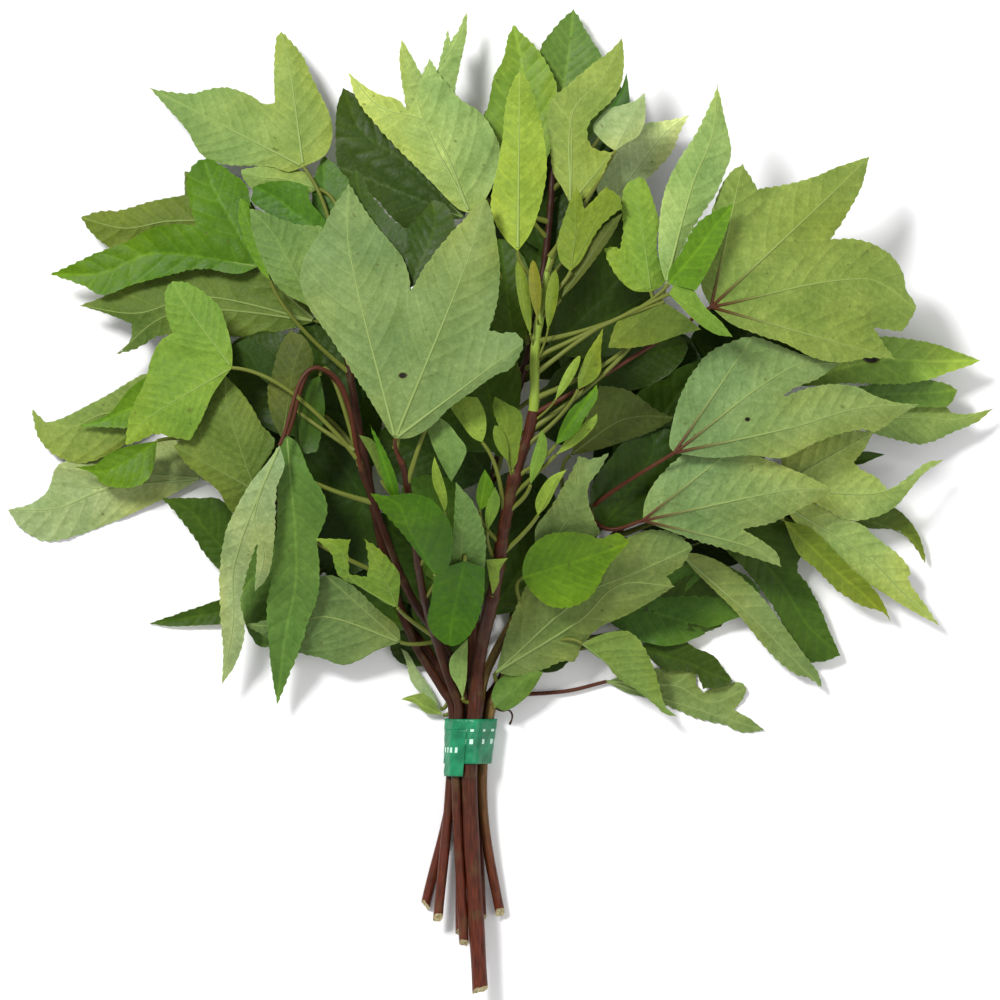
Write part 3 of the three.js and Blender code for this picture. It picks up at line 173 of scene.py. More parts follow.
# The studio, in metres
PICTURE_WIDTH = 0.4
CAMERA_DISTANCE = 5.0
SHARP_HEIGHT = 0.045
FRAME_SHIFT = 0.0002
FILM_WIDTH = 36
FLOOR_SIZE = 6
FLOOR_HEIGHT = -0.0002
LIGHT_AIM = (0, 0, 0.05)
SKY_POWER = 0.6

FIRST_SEED = 11
TAPE_SEED = 5
UPPER = 1
UNDER = -1
TIP = None


def linear(hex_colour):
    """An sRGB hex colour as linear red, green and blue."""
    shares = [int(hex_colour[i : i + 2], 16) / 255 for i in (0, 2, 4)]
    return tuple(v / 12.92 if v <= 0.04045 else ((v + 0.055) / 1.055) ** 2.4 for v in shares)


# Colours of leaves, stalks, bark and tape
TONES = {name: linear(colour) for name, colour in {
    # The near-black tone is painted deep shade, given to the undersides of the lowest inner leaves
    "black": "1d2c0a", "dark": "2a400c", "deep": "365012", "dusk": "47521f", "shade": "3c5e1e",
    "leafy": "3e6510", "bright": "466a0c", "dull": "556928", "heath": "667c43", "fern": "567530",
    "moss": "65803f", "olive": "647824", "grass": "587c18", "fresh": "6c8a30", "kiwi": "78983e",
    "lime": "7c9334", "hay": "7b8e40", "misty": "687e48", "mint": "768e53", "sage": "758d49",
    "light": "88a058", "frost": "879a66", "pale": "94a668", "milk": "b4cc94", "shoot": "6c7020",
    "rib": "8fa35a", "red": "4c2412", "stalk": "636c28", "russet": "4c2213", "bark": "3a1c0d",
    # The heart of a hole spot is painted shadow seen through the hole; its rim is the hole's brown edge
    "wine": "311a0c", "hole_rim": "4a4420", "hole_shadow": "14160a", "moss_bark": "665c30", "lichen": "584d2c",
    "tape": "1f9a68",
}.items()}


def leaf(tone, level, face, foot, edge=(), lobes=(), **more):
    """A leaf with its edge as x, y, x, y and so on, TIP after each lobe's tip, or with plain lobes."""
    corners, tips, rest = [], [place[:2] for place in lobes], list(edge)
    while rest:
        if rest[0] is TIP:
            tips.append(corners[-1])
            del rest[:1]
        else:
            corners.append(rest[:2])
            del rest[:2]
    return {"tone": tone, "level": level, "face": face, "foot": foot, "corners": corners, "tips": tips,
            "lobes": lobes, **more}


# Stems from the lowest to the topmost. level is a leaf's or a stem's place between the table, 0, and the
# bunch's top, 1. slot is a stem's place in the tie, and start is where a leaf's stalk leaves its stem.
STEMS = [{
    "name": "leafy_stem_1", "bark": "bark", "cut_way": (-0.6, 0, 0.5), "slot": (-4.6, 3.1), "radius": 2,
    "cut": (-30, -163, 2.4), "level": 0.1,
    "path": [(-19, -76), (-31, -58), (-50, -36), (-74, -14), (-98, 6)],
    "leaves": [
        leaf("dull", 0, UNDER, (-60, -22), lobes=[(-118, -14, 26), (-104, 30, 24)]),
        leaf("deep", 0.03, UPPER, (-55, 5), lobes=[(-92, 62, 28), (-62, 80, 24)]),
        leaf("deep", 0.16, UPPER, (-40, -50), lobes=[(-76, -38, 28), (-64, -10, 34)]),
        leaf("fern", 0.18, UPPER, (-84, -12), lobes=[(-110, -44, 28), (-96, -60, 26)]),
        leaf("dark", 0.1, UPPER, (-28, -66), lobes=[(-44, -54, 14), (-40, -34, 24)]),
        leaf("deep", 0.05, UPPER, (-104, -44), [-106, -39, -113, -40, -122, -43, -132, -46.3,
          -141.7, -49.6, TIP, -133, -50.8, -120, -50.3, -108, -49], start=(-60, -27)),
        leaf("deep", 0.1, UPPER, (-101, -30), [-104, -14, -112, 0, -122, 1, -136.5, 1, TIP, -130, -6,
          -124, -14, -119, -21.5, -112, -28.5], start=(-74, -14)),
        leaf("frost", 0.06, UNDER, (-120, 9), [-126, 15, -131, 26, -140, 24, -152, 19, -166, 17,
          -178, 14.5, TIP, -183, 3.5, -190, -1.5, -198.7, -3.8, TIP, -193, -11.5, -184, -16.4, -172, -14.6,
          -158, -9.5, -144, -3.3, -132, 2.5]),
        leaf("hay", 0.12, UNDER, (-132, 38), [-138, 53, -146, 50, -155, 44.5, -165, 39, -176, 33.5,
          -183, 31.3, -188.7, 37, TIP, -187.5, 29, -184, 22, -177, 17, -168, 15, -156, 19.5, -148, 25]),
        leaf("grass", 0.17, UPPER, (-136, 42), [-141, 51, -149, 45, -156, 36.5, -161, 33, -171, 30, TIP,
          -158, 29.5, -148, 30]),
        leaf("bright", 0.21, UPPER, (-138, 24), [-144, 23, -151, 21.5, -158, 18.5, -163, 14.5,
          -171, 13.5, TIP, -163.5, 10.5, -160, 6.5, -152, 5, -144, 6.5, -139.8, 12]),
        leaf("hay", 0.12, UPPER, (-23, -86.5), [-25, -83.6, -27, -79.6, -30, -77.6, -36, -78.6,
          -40, -80.1, TIP, -34, -82.1, -30, -85.6], start=(-19, -84)),
        leaf("frost", 0.2, UNDER, (-24, -83.6), [-28, -75.6, -33, -68.6, -37, -61.6, -40, -59.6, TIP,
          -38, -64.6, -36, -72.6, -33, -76.6, -28, -79.6], start=(-20, -80)),
    ],
}, {
    "name": "leafy_stem_2", "bark": "wine", "cut_way": (0.3, 0, 0.9), "slot": (-6.6, 7.4), "radius": 2,
    "cut": (-25, -168, 9), "level": 0.36,
    "path": [(-23, -76), (-35, -56), (-46, -24), (-54, 16), (-61, 56), (-66, 92)],
    "leaves": [
        # A near-black underside: painted deep shade among the inner leaves
        leaf("black", 0.25, UNDER, (-80, 38), lobes=[(-137, 60, 24), (-122, 22, 24)]),
        leaf("dark", 0.28, UPPER, (-54, 0), lobes=[(-78, 36, 30), (-88, 14, 34), (-70, -30, 28)]),
        leaf("dark", 0.27, UPPER, (-62, 26), lobes=[(-108, 64, 38), (-76, 74, 30)]),
        leaf("dull", 0.26, UNDER, (-97, 112), [-100, 120, -115, 130, -127, 132.5, TIP, -127, 123,
          -140, 120.5, -153, 117, -162, 116.5, -169, 114, TIP, -164, 107, -155, 101, -135, 100, -110, 103]),
        leaf("dull", 0.29, UNDER, (-74, 72), [-77, 78, -92, 92, -105, 100, TIP, -120, 98, -145, 89,
          -160, 82, -169, 78.5, TIP, -158, 75, -148, 71, -149, 64, -154, 59, TIP, -146, 61, -137, 66,
          -120, 66, -100, 66, -84, 69]),
        leaf("shade", 0.32, UPPER, (-70, 104), [-66, 110, -62, 118, -60, 127, -65, 134, -71, 138.5, TIP,
          -74, 132, -75.5, 124, -75, 113, -73, 107]),
        leaf("bright", 0.34, UPPER, (-97, 94), [-98, 104, -100, 118, -102, 127, -107, 131, -113, 135.5,
          -119, 137.5, TIP, -124, 134, -126, 127, -124, 117, -122, 110.5, -131, 111, -141, 109, -150, 104,
          -160, 100.5, -169, 96.5, -181, 91, TIP, -167, 86, -160, 82.5, -148, 86.5, -135, 90, -120, 93,
          -105, 91]),
        leaf("sage", 0.36, UNDER, (-73, 125), [-76, 130, -84, 134, -95, 134.5, -104, 133, TIP, -103, 129,
          -99, 125, -90, 124, -80, 122]),
        leaf("sage", 0.38, UNDER, (-79, 134), [-71, 138, -68, 143, -67.5, 151, -70, 159, -75, 169,
          -80, 180, -85, 186, -88, 189, TIP, -90, 187, -91, 172, -90.5, 160, -95, 159.5, -101, 163.5,
          -112, 166.5, -125, 164, -141, 166, TIP, -134, 158, -126, 149, -120, 139, -110, 135, -92, 134,
          -85, 132]),
        leaf("leafy", 0.4, UPPER, (-68, 104), [-70, 112, -76, 120, -77, 126, -83, 128, -92, 128,
          -99, 126, TIP, -100, 120, -92, 114, -78, 105]),
        leaf("grass", 0.42, UNDER, (-92, 88), [-95, 97, -98, 105, -101, 119, -104.5, 121.5, TIP, -105, 113,
          -101, 101, -96, 92]),
        leaf("moss", 0.45, UNDER, (-72, 73), [-68, 82, -64, 95, -66, 108, -72, 110, TIP, -80, 110.5,
          -88, 113, -95, 116, -100.5, 117, TIP, -99.5, 108, -96, 98, -91, 88, -84, 81.5, -77, 78]),
    ],
}, {
    "name": "leafy_stem_3", "bark": "wine", "cut_way": (0, 0, 0.7), "slot": (-2.2, 7.4), "radius": 2,
    "cut": (-16, -174, 7), "level": 0.56,
    "path": [(-14, -76), (-22, -60), (-36, -38), (-48, -8), (-58, 20)],
    "leaves": [
        leaf("dark", 0.5, UNDER, (-92, 46), [-90, 56, -95, 62.4, -100, 65, -106.5, 62.4, TIP, -105, 55.4,
          -100, 52.4]),
        leaf("deep", 0.52, UPPER, (-72, 50), [-80, 45, -80, 18.4, TIP, -73, 19.4, -71, 28.4, -70, 38.4]
          , start=(-58, 20)),
        leaf("heath", 0.51, UNDER, (-40, -57), [-41, -51, -50, -43, -60, -33.5, -70, -30, TIP, -80, -36,
          -90, -46, -102, -50, TIP, -96, -54, -82, -61, -72, -63.5, -63, -66.3, -56, -64, -50, -60.5]
          , start=(-32, -60)),
        leaf("dull", 0.53, UNDER, (-98, 4), [-96, 12, -91, 20, -90, 24, -95, 30, -99, 37, -104, 44,
          -110, 50, TIP, -114, 47, -117, 38, -121, 31, -126, 26.5, -130.5, 22, TIP, -126, 15, -120, 9.5,
          -113, 4, -109, -3, -106, -6, -102, -2]),
        leaf("dusk", 0.55, UNDER, (-87, 24), [-83, 36, -78, 46, -74.5, 56, -78, 65, TIP, -84, 68, -88, 62,
          -91, 51, -93, 44, -91.5, 34]),
        leaf("fern", 0.57, UPPER, (-85, 26), [-88, 22, -89, 5, -89.5, -12, -91, -28, -93.7, -42, -93, -58,
          -91.5, -72, -89.7, -82.3, TIP, -85, -71, -80.5, -60, -77, -49, -73, -38, -72.3, -25, -73, -16,
          -69, -5, -70, 2, -76, 11.5, -81, 23], start=(-58, 20), via=(-71, 52.5), stalk="red"),
        leaf("fresh", 0.62, UNDER, (-107, 53), [-107, 60, -109, 69, -112, 77, -118, 83, -125, 87,
          -131, 87.5, TIP, -134, 84, -133.5, 74, -131, 67, -136, 64, -140, 56, -142, 48, -147, 38,
          -149.5, 29, -150, 22, TIP, -144, 24, -138, 26.5, -130, 25, -124, 24, -119, 33, -115, 42,
          -111, 48]),
        leaf("frost", 0.68, UNDER, (-88, 22), [-93, 15, -99, 8, -105, -2, -110, -13, -112.5, -28,
          -112.5, -45, -111.5, -60, -112, -74, TIP, -107, -67, -103.5, -58, -102.5, -50, -104, -40,
          -101, -28, -97, -16, -98.5, -36.5, TIP, -94, -32, -91.5, -25, -90, -12, -89, 5, -86, 14]
          , start=(-58, 20), via=(-71, 52.5), stalk="red"),
    ],
}, {
    "name": "leafy_stem_4", "bark": "wine", "cut_way": (0, 0, 0.7), "slot": (-4.5, 11.5), "radius": 2,
    "cut": (-14.5, -178, 12), "level": 0.91,
    "path": [(-19, -76), (-25, -58), (-31, -36), (-35, -8), (-38, 12), (-42, 22)],
    "leaves": [
        leaf("dark", 0.9, UPPER, (-36, 84), [-24, 92, -17, 104, -19, 113, -22, 118, -27, 119.5, TIP,
          -32, 113, -37, 108, -43, 112, -48, 118, -52, 123, -55, 130, -57.5, 131.5, TIP, -60, 128,
          -60, 118, -52, 100, -44, 90]),
        leaf("moss", 0.9, UNDER, (-24, 33), [-29, 28, -26, 20, -22, 12, -19.3, 7.3, TIP, -15, 15,
          -13.3, 20.5, -17, 26, -20, 30]),
        leaf("dull", 0.9, UNDER, (-47, 8), [-46.5, 15.4, -48, 20.4, -51, 24.4, -56, 26, TIP, -51.5, 18]),
        leaf("fresh", 0.9, UNDER, (-41, -43), [-40, -30, -42.5, -25.5, -49, -18.5, -54, -15.3, TIP,
          -52.5, -24, -53, -30.5, -60, -29.5, -60.5, -20, -59.5, -15.5, -74, -15, TIP, -67.5, -21,
          -64.5, -30, -54, -35.5, -46, -41]),
        leaf("leafy", 0.92, UPPER, (-41, 0), [-40, 3.4, -42, 11.4, -45, 18.4, -48, 24.4, -51.5, 30, TIP,
          -48, 16.4, -47, 10.4, -44.5, 3.4]),
        leaf("lime", 0.93, UNDER, (-22, -5), [-21, -1.6, -21, 1.4, -22, 6.4, -24, 12.4, -26, 17.4, TIP,
          -27, 12.4, -26.5, 6.4, -24, 0.4]),
        leaf("moss", 0.92, UNDER, (-16, -34), [-7, -34, -5.5, -18, -7, -9, -11, 0, -15, 4.5,
          -17.5, 7.5, TIP, -18, -2, -19, -14, -21, -25, -24, -31], start=(-27, -50)),
        leaf("leafy", 0.97, UPPER, (-26, -29.5), [-21, -27, -19, -19, -19.5, -10, -23, -4, -28, 1,
          -36, 2.8, -44, 2, -51.3, 3, TIP, -47, -4, -39, -13, -31, -23.5]),
        leaf("leafy", 0.96, UPPER, (-14, -24), [-25, -29, -27.5, -40, -29, -48.5, -26, -54.5,
          -20, -58.2, TIP, -14, -56, -9, -48.5, -6.5, -38, -6, -27], start=(-27, -50)),
        leaf("misty", 0.97, UNDER, (-41.5, 24.5), [-35, 25, -27, 29.5, -20, 36.5, -11, 43, -2, 49.5, 4, 52,
          7.5, 57, 9.3, 62.5, TIP, 6, 66.5, 0, 66.5, -4.5, 67.5, -1.5, 76, 0, 90, -1.5, 105, -4, 117,
          -6, 120, TIP, -12, 114, -20, 105.5, -29, 94, -35.5, 83, -36, 89, -39, 97, -46, 105.5, -53, 114.5,
          -60, 126, TIP, -66, 117, -71, 107, -77, 98, -79.5, 89, -76, 77, -68, 65.5, -58, 50, -48, 34,
          -43.5, 26.5], stalk="red", spots=[(-38.5, 49.5, 1.6, 1.1)]),
    ],
}, {
    "name": "leafy_stem_5", "bark": "wine", "cut_way": (0, 0, 0.7), "slot": (-0.1, 3.1), "radius": 2,
    "cut": (-15.5, -156, 2.4), "level": 0.2,
    "path": [(-11, -62), (-8, -22), (0, 20), (12, 62), (18, 96), (21, 128), (21, 143)],
    "leaves": [
        leaf("dark", 0, UNDER, (-2, 42), lobes=[(-24, 112, 28), (16, 118, 26)]),
        leaf("dark", 0.06, UPPER, (14, 82), lobes=[(46, 150, 26), (-4, 160, 24)]),
        leaf("dark", 0.3, UPPER, (20, 60), lobes=[(62, 84, 30), (50, 108, 28)]),
        leaf("dark", 0.24, UPPER, (14, 30), lobes=[(52, 56, 28), (44, 30, 18)]),
        leaf("deep", 0.26, UPPER, (-10, -20), lobes=[(-38, 8, 28), (-34, -24, 22)]),
        leaf("deep", 0.32, UPPER, (0, 20), lobes=[(-30, 50, 30), (-10, 70, 28)]),
        leaf("dark", 0.26, UPPER, (-12, -44), lobes=[(-50, -6, 36), (-36, -44, 20)]),
        leaf("dark", 0.22, UPPER, (-4, -46), lobes=[(22, -8, 32), (8, 14, 28)]),
        leaf("dark", 0.2, UPPER, (-4, 10), lobes=[(-50, 26, 32), (-36, 46, 28)]),
        leaf("dark", 0.1, UPPER, (10, 50), lobes=[(60, 96, 40), (44, 78, 30)]),
        leaf("dark", 0.15, UPPER, (18, 100), lobes=[(26, 152, 26), (2, 142, 22)]),
        leaf("dark", 0.12, UPPER, (24, 124), lobes=[(48, 168, 20)]),
        leaf("deep", 0.16, UPPER, (22, 96), lobes=[(60, 126, 24)]),
        leaf("deep", 0.3, UPPER, (6, 58), lobes=[(0, 106, 22)]),
        leaf("deep", 0.18, UPPER, (2, -30), lobes=[(16, 12, 26), (24, -16, 22)]),
        leaf("dark", 0.24, UPPER, (26, 50), lobes=[(76, 63, 26), (44, 78, 26)]),
        leaf("dark", 0.08, UPPER, (-14, -70), lobes=[(-17, -42, 13)]),
        leaf("fern", 0.2, UPPER, (22, 148), [31, 155, 38, 168, 41, 178, 38, 184, 34, 190.5, 31.5, 195.5,
          29.5, 198, TIP, 25, 194, 21.5, 190, 16, 181.5, 18, 172, 18, 160]),
        leaf("shade", 0.2, UPPER, (42, 150), [51.5, 158, 51.8, 166, 51, 172, TIP, 48, 164, 44, 158]),
        leaf("fresh", 0.26, UPPER, (10, 120), [20, 140, 23, 155, 23, 166, 20, 174, 15, 182, 10, 187,
          5.5, 191.6, TIP, 3, 186, 1, 177, -2.5, 170.5, -4.5, 160, -7, 150, -2, 135]),
        leaf("milk", 0.28, UNDER, (43, 118), [50, 121, 56, 127, 60, 130, 66, 136, 70, 141.5, 72.5, 148,
          76, 155, TIP, 68, 153, 58, 151.5, 50, 146, 44, 138, 40, 130, 39, 124]),
        leaf("dark", 0.36, UPPER, (-14, 113), [-14, 124, -30, 140, -45, 155, -58, 163, -63, 166, TIP,
          -65.5, 158, -66, 145, -65, 134, TIP, -58, 127, -50, 121, -43, 113, -37, 108.5, -30, 109,
          -24, 112]),
        leaf("light", 0.4, UNDER, (-22, 140), [-17, 150, -18, 163, -16, 175, -13.5, 187, -13, 198, TIP,
          -17, 189, -20, 184.5, -21, 190, TIP, -24, 178, -26, 170, -31, 171, -35, 178, -39.5, 185.5, TIP,
          -40.5, 178, -39, 165, -36, 152, -28, 142]),
        leaf("light", 0.44, UNDER, (-12, 115), [-8, 118, -4, 124, -0.5, 134, 0, 141, -3, 149, -8, 156,
          -15, 160.5, -20, 166, -25, 172, -28, 178, TIP, -32, 169, -35, 160, -37, 156.5, -41, 161,
          -48, 163, -55, 167, -61, 172, TIP, -58, 162, -51, 152, -40, 140, -28, 128, -17, 117]),
    ],
}, {
    "name": "leafy_stem_6", "bark": "bark", "cut_way": (0, 0, 0.7), "slot": (4.4, 3.1), "radius": 2,
    "cut": (-7.5, -168, 2.4), "level": 0.1,
    "path": [(-2, -76), (14, -54), (30, -32), (48, -12), (66, 8), (82, 24)],
    "leaves": [
        # A near-black underside: painted deep shade among the inner leaves
        leaf("black", 0, UNDER, (52, -26), lobes=[(122, -4, 26), (112, 34, 22)]),
        leaf("dark", 0.03, UPPER, (40, -8), lobes=[(92, 48, 28), (62, 62, 24)]),
        leaf("dark", 0.16, UPPER, (52, 4), lobes=[(74, 68, 38)]),
        leaf("shade", 0.14, UPPER, (34, -36), lobes=[(84, -52, 26), (106, -38, 30)]),
        leaf("dark", 0.17, UPPER, (6, -64), lobes=[(30, -56, 20), (22, -34, 22)]),
        leaf("misty", 0.05, UNDER, (43, -73), [51, -77.5, 60, -80, 70, -84, 80, -88.3, 90, -90.5,
          98, -93.6, 106.8, -92.8, TIP, 101, -88, 94.5, -84.5, 98, -80, 99.5, -76, TIP, 97, -73.3, 88, -75,
          82, -77.5, 79, -73, 79.5, -67, TIP, 70, -67.3, 60, -68, 50, -70.5], start=(-3, -80), via=(26, -77)
          , stalk="red"),
        leaf("dark", 0.1, UPPER, (57, -60), [66, -68, 78, -69, 82, -76, 90, -75, 94, -72.8, TIP, 90, -67.5,
          86, -62.5, 78, -59, 72, -54, 67, -51.6, 60, -53]),
        leaf("dark", 0.12, UPPER, (54, -52), [62, -53, 72, -52, 82, -53, 89, -50.7, 93.5, -45, TIP,
          90, -40, 84, -34, 80, -30, 74, -31, 66, -37, 58, -44]),
        leaf("dark", 0.12, UPPER, (66, 30), lobes=[(132, 72, 26), (112, 96, 24)]),
        leaf("dull", 0.14, UPPER, (140, -6), [148, -11, 160, -12, 165, -16, 169, -21.5, 172, -26.4, TIP,
          170.5, -18.5, 167.5, -11.5, 162, -5, 157, -2.5, 148, -4]),
        leaf("deep", 0.12, UPPER, (132, 14), [145, 14.5, 150, 16.5, 155.2, 18.6, TIP, 147, 19.8, 138, 18]),
        leaf("deep", 0.16, UPPER, (92, -8), [90, -18, 98, -27, 108, -40, 118, -57, 124, -65.5, 131, -64.8,
          137.3, -62.4, TIP, 133, -53, 129, -43, 124, -33.5, 120, -28, 122, -18, 118, -8, 106, -6]),
    ],
}, {
    "name": "leafy_stem_7", "bark": "moss_bark", "cut_way": (0, 0, 0.7), "slot": (2.3, 7.2), "radius": 2,
    "cut": (-9.6, -182, 6.4), "level": 0.34,
    "path": [(-5, -68), (8, -44), (24, -20), (44, 0), (70, 14), (98, 24)],
    "leaves": [
        leaf("dark", 0.25, UPPER, (104, 58), lobes=[(146, 98, 22), (160, 82, 18)]),
        leaf("dark", 0.28, UPPER, (46, 10), lobes=[(76, 48, 28), (92, 58, 26)]),
        leaf("sage", 0.26, UNDER, (138, 32), [150, 27, 160, 24.3, 168, 22.6, 174, 23.5, 182, 27.3,
          192, 31.5, 198.7, 37, TIP, 189, 35, 182, 35.5, 179, 38.5, 170, 41, 155, 40]),
        leaf("fern", 0.3, UPPER, (130, 41), [150, 38, 172, 37.5, 180, 38, 183, 41.5, 184, 44.5, TIP,
          180, 47, 172, 48.5, 160, 48, 145, 46]),
        leaf("kiwi", 0.34, UPPER, (112, 46), [125, 46, 140, 47, 160, 46.7, 172, 48.5, 182, 52, 191, 55,
          193.3, 56.5, TIP, 185, 59.5, 175, 63, 163, 65.2, 150, 66, 135, 62, 120, 54]
          , spots=[(149.3, 57.3, 3.3, 2)]),
        leaf("misty", 0.34, UNDER, (72, -21), [78, -28, 86, -36, 95, -45, 104, -56, 112, -65, 119, -70,
          125, -72, 130.3, -76, TIP, 128, -69, 122, -61, 114, -50, 107, -40.5, 98, -31.5, 89, -25,
          80, -21.5]),
        leaf("olive", 0.37, UPPER, (114, -8), [120, -21.5, 127, -27.5, 136, -36.5, 146, -42.5, 154, -45,
          157.5, -49, TIP, 155, -42.5, 150, -35, 140, -26, 126, -12]),
        leaf("light", 0.39, UNDER, (114, -2), [118, -8, 127, -17.5, 141, -28.5, 153, -36.5, 166, -44.5,
          177.2, -50.5, TIP, 171, -41.5, 164.5, -31.5, 165.5, -28.5, 160, -21.5, 151, -14.5, 146, -10,
          134, -5, 120, 2]),
        leaf("light", 0.42, UNDER, (112, 6), [128, -2, 140, -8, 150, -7, 159, -2.5, 165, 4.5, 171, 11.5,
          178.5, 16.4, TIP, 172, 15.5, 164, 9.5, 156, 4, 151, 9.5, 145, 12.5, 142, 15.5, 146, 20,
          150, 27.5, TIP, 138, 28, 124, 22, 113, 17]),
    ],
}, {
    "name": "leafy_stem_8", "bark": "moss_bark", "cut_way": (0.2, 0, 1.0), "slot": (6.5, 7.4), "radius": 2,
    "cut": (0, -166, 4.2), "knee": (-5.4, -137, 6.6), "level": 0.5,
    "path": [(1, -74), (12, -50), (24, -24), (36, -2)],
    "curl": [(-4, -82, 9), (0.5, -84.6, 9.5), (3.4, -84.4, 9.4), (4.9, -86.2, 9.2), (4.7, -88.4, 8.6),
      (3.9, -90.2, 8)],
    "leaves": [
        leaf("fern", 0.52, UNDER, (-2, -83), [2.2, -84.7, 9.9, -80, 13.7, -75.4, 17.5, -69, TIP, 11, -68,
          4, -69, -1.4, -73.2, -3.4, -79], start=(-3, -86)),
        leaf("dark", 0.5, UPPER, (40, -12), [52, -10, 64, -2, 72, 12, TIP, 70, 26, 60, 32, TIP, 50, 24.5,
          44, 17, 38, 9, 36, 0]),
        leaf("heath", 0.57, UNDER, (-1.5, -69), [6, -70.6, 17.6, -68, 24, -65, 30, -64.5, 33, -58.5,
          40, -51, 50, -46.5, 60, -41, 70, -34.5, TIP, 67, -30.5, 73, -26, 77.3, -18.5, TIP, 70, -13,
          58, -12, 45, -18, 30, -24, 15, -29.5, 9, -37, 2.6, -53]),
        leaf("dusk", 0.53, UNDER, (28, 18), [40, 20.5, 52, 24.5, 62, 28, 70, 33, TIP, 63, 36, 57, 40.5,
          50, 44.5, 40, 46, TIP, 37, 40, 34, 32]),
        leaf("mint", 0.6, UNDER, (16, -24), [28, -20, 40, -13, 38, -8, 35.5, -1, 35.5, 6, 40, 12.5,
          43.5, 19, TIP, 36, 16.5, 31.5, 18, TIP, 27, 9, 20, -3, 14, -12]),
        leaf("moss", 0.65, UNDER, (33, -57.5), [37, -61.5, 42, -65, 47, -71, 55, -76.5, 62, -82, 66, -85.8,
          71.2, -87, TIP, 66.5, -82.5, 64, -74, 61, -65, 57, -57.5, 52.5, -53, 46, -52.5, 39, -54.5]),
        leaf("mint", 0.6, UNDER, (57, -8), [66, -11.5, 80, -16.5, 95, -21, 105, -24, 112.8, -26.6, TIP,
          111, -21, 104, -15.5, 97, -11.5, 109, -9, 121, -3, 131, 2.2, 133, 4.5, TIP, 124, 9.5, 112, 14.5,
          101, 19.3, 97.5, 24.5, TIP, 93, 26.8, 83, 25, 73, 18.5, 63, 9, 58, 0], start=(30, -14)
          , via=(44, -11.5), stalk="red", rib="red"),
        leaf("grass", 0.67, UPPER, (9, -31), [13, -37, 19, -42, 26, -43.2, 33, -41, 38, -36.5, 42, -28.5,
          46.5, -22.5, 51.7, -16.7, TIP, 47.5, -13, 44, -13.7, 40, -15.2, 34, -13.2, 26, -12.5, 18, -14,
          12, -19, 9.3, -25]),
        leaf("mint", 0.66, UNDER, (69.5, 19), [85, 17, 100, 18, 113, 17, 124, 22, 134, 26, 145, 28.5,
          150, 27.5, 155, 30, 160, 34, 168, 38.4, TIP, 158, 39.5, 150, 42, 143, 45.5, 134, 46.6, 124, 45.3,
          113, 41.5, 119, 45.5, 127, 48.5, 136, 55, TIP, 122, 58, 110, 62.5, 101, 65.5, TIP, 94, 64,
          84, 59.5, 77, 51.5, 72, 42, 69, 32, 67.5, 22], start=(36, -2), via=(50, 7), stalk="red", rib="red"
          , spots=[(98.8, 32.4, 1, 0.8)]),
    ],
}, {
    "name": "leafy_stem_9", "bark": "bark", "cut_way": (0.3, 0, 0.4), "green_from": 35,
    "slot": (1.1, 13.1), "radius": 3.2, "cut": (-8, -197, 12), "level": 0.8,
    "path": [(-9, -66), (-2, -34), (4, 2), (13, 34), (14, 60), (17, 80), (20, 98)],
    "leaves": [
        leaf("frost", 0.73, UNDER, (46, 139.5), [50, 142.5, 55, 145.5, 57.8, 151, 58.2, 157, 58, 163, TIP,
          54, 160, 48, 158, 43, 156.5, 38.5, 152, 37, 149, 39, 145.5, 42.5, 142]),
        leaf("hay", 0.77, UNDER, (28, 118), [36, 122, 41, 130, 45, 139, TIP, 37, 141, 35, 148, 38, 153.5,
          44, 159, 47.5, 164, 49.5, 172, 49.6, 180, 49, 185.6, TIP, 44, 180, 36, 174, 28, 167,
          21, 160.5, TIP, 18.8, 153, 19.8, 144, 21, 131, 24.5, 125]),
        leaf("hay", 0.76, UNDER, (84, 77), [92, 70.5, 103, 66, 114, 62.5, 125, 57, 136, 55, 147, 57,
          158, 56.5, TIP, 154, 62, 149.5, 69, 156, 68.3, 161, 68, 164, 72, 166.5, 77, TIP, 165, 81,
          162.8, 84, 161.5, 91, 157, 98, 150, 102.5, 141, 104.8, 132.5, 104.5, 139, 114.5, 145, 126,
          148.2, 138, TIP, 136, 134, 124, 129, 112, 126, 103, 124.5, 100, 129.5, 97, 134.5, TIP, 91, 130,
          85, 117, 81, 100, 80, 86], start=(13, 34), via=(44, 51.5), stalk="red", rib="red"),
        leaf("fresh", 0.78, UNDER, (60, 83), [65, 86, 66, 92, 63, 97, 62.5, 104, 63.5, 110, 61, 120,
          58, 127.5, 55.5, 129, TIP, 50, 125.5, 48.5, 118, 49, 107, 47.5, 100, 45, 101, 41.5, 100.5, TIP,
          43, 95, 47, 88.5, 53, 83.5]),
        leaf("light", 0.8, UNDER, (66, 86), [70, 95, 74, 103, 80, 113, 86, 122, 90, 131, 92.5, 139,
          91.3, 147, 89.5, 155, 87.2, 166.5, TIP, 84, 158.5, 78, 146.5, 72, 137, 67, 127.5, 64.3, 118,
          63, 104, 63.5, 95]),
        leaf("grass", 0.84, UPPER, (67, 86), [78, 83.5, 82, 90, 86, 98, 90, 107, 93, 118, TIP, 86, 115.5,
          78, 110, 72, 99, 67, 91]),
        leaf("fresh", 0.86, UNDER, (67, 82), [71, 78, 78, 71, 86, 66, 92.5, 65, TIP, 88, 71, 82, 76.5,
          77, 84, 76, 87.5, 70, 87.5], start=(15, 56), via=(40, 69)),
        leaf("dull", 0.85, UNDER, (65, 79), [60, 78.5, 52, 76, 47, 72, 44, 65, 43, 60.5, TIP, 52, 60.5,
          62, 62.5, 72, 66, 80, 68, 74, 73], start=(15, 56), via=(40, 69)),
        leaf("olive", 0.84, UNDER, (28, 91), [32, 95, 35, 100.5, 38, 106, 43, 112, 48.5, 116, TIP,
          47.5, 121, 42, 125, TIP, 37, 119.5, 33.5, 116, 32.5, 120, 30.5, 125, TIP, 27.5, 118, 24, 108,
          22.8, 101, 24, 95]),
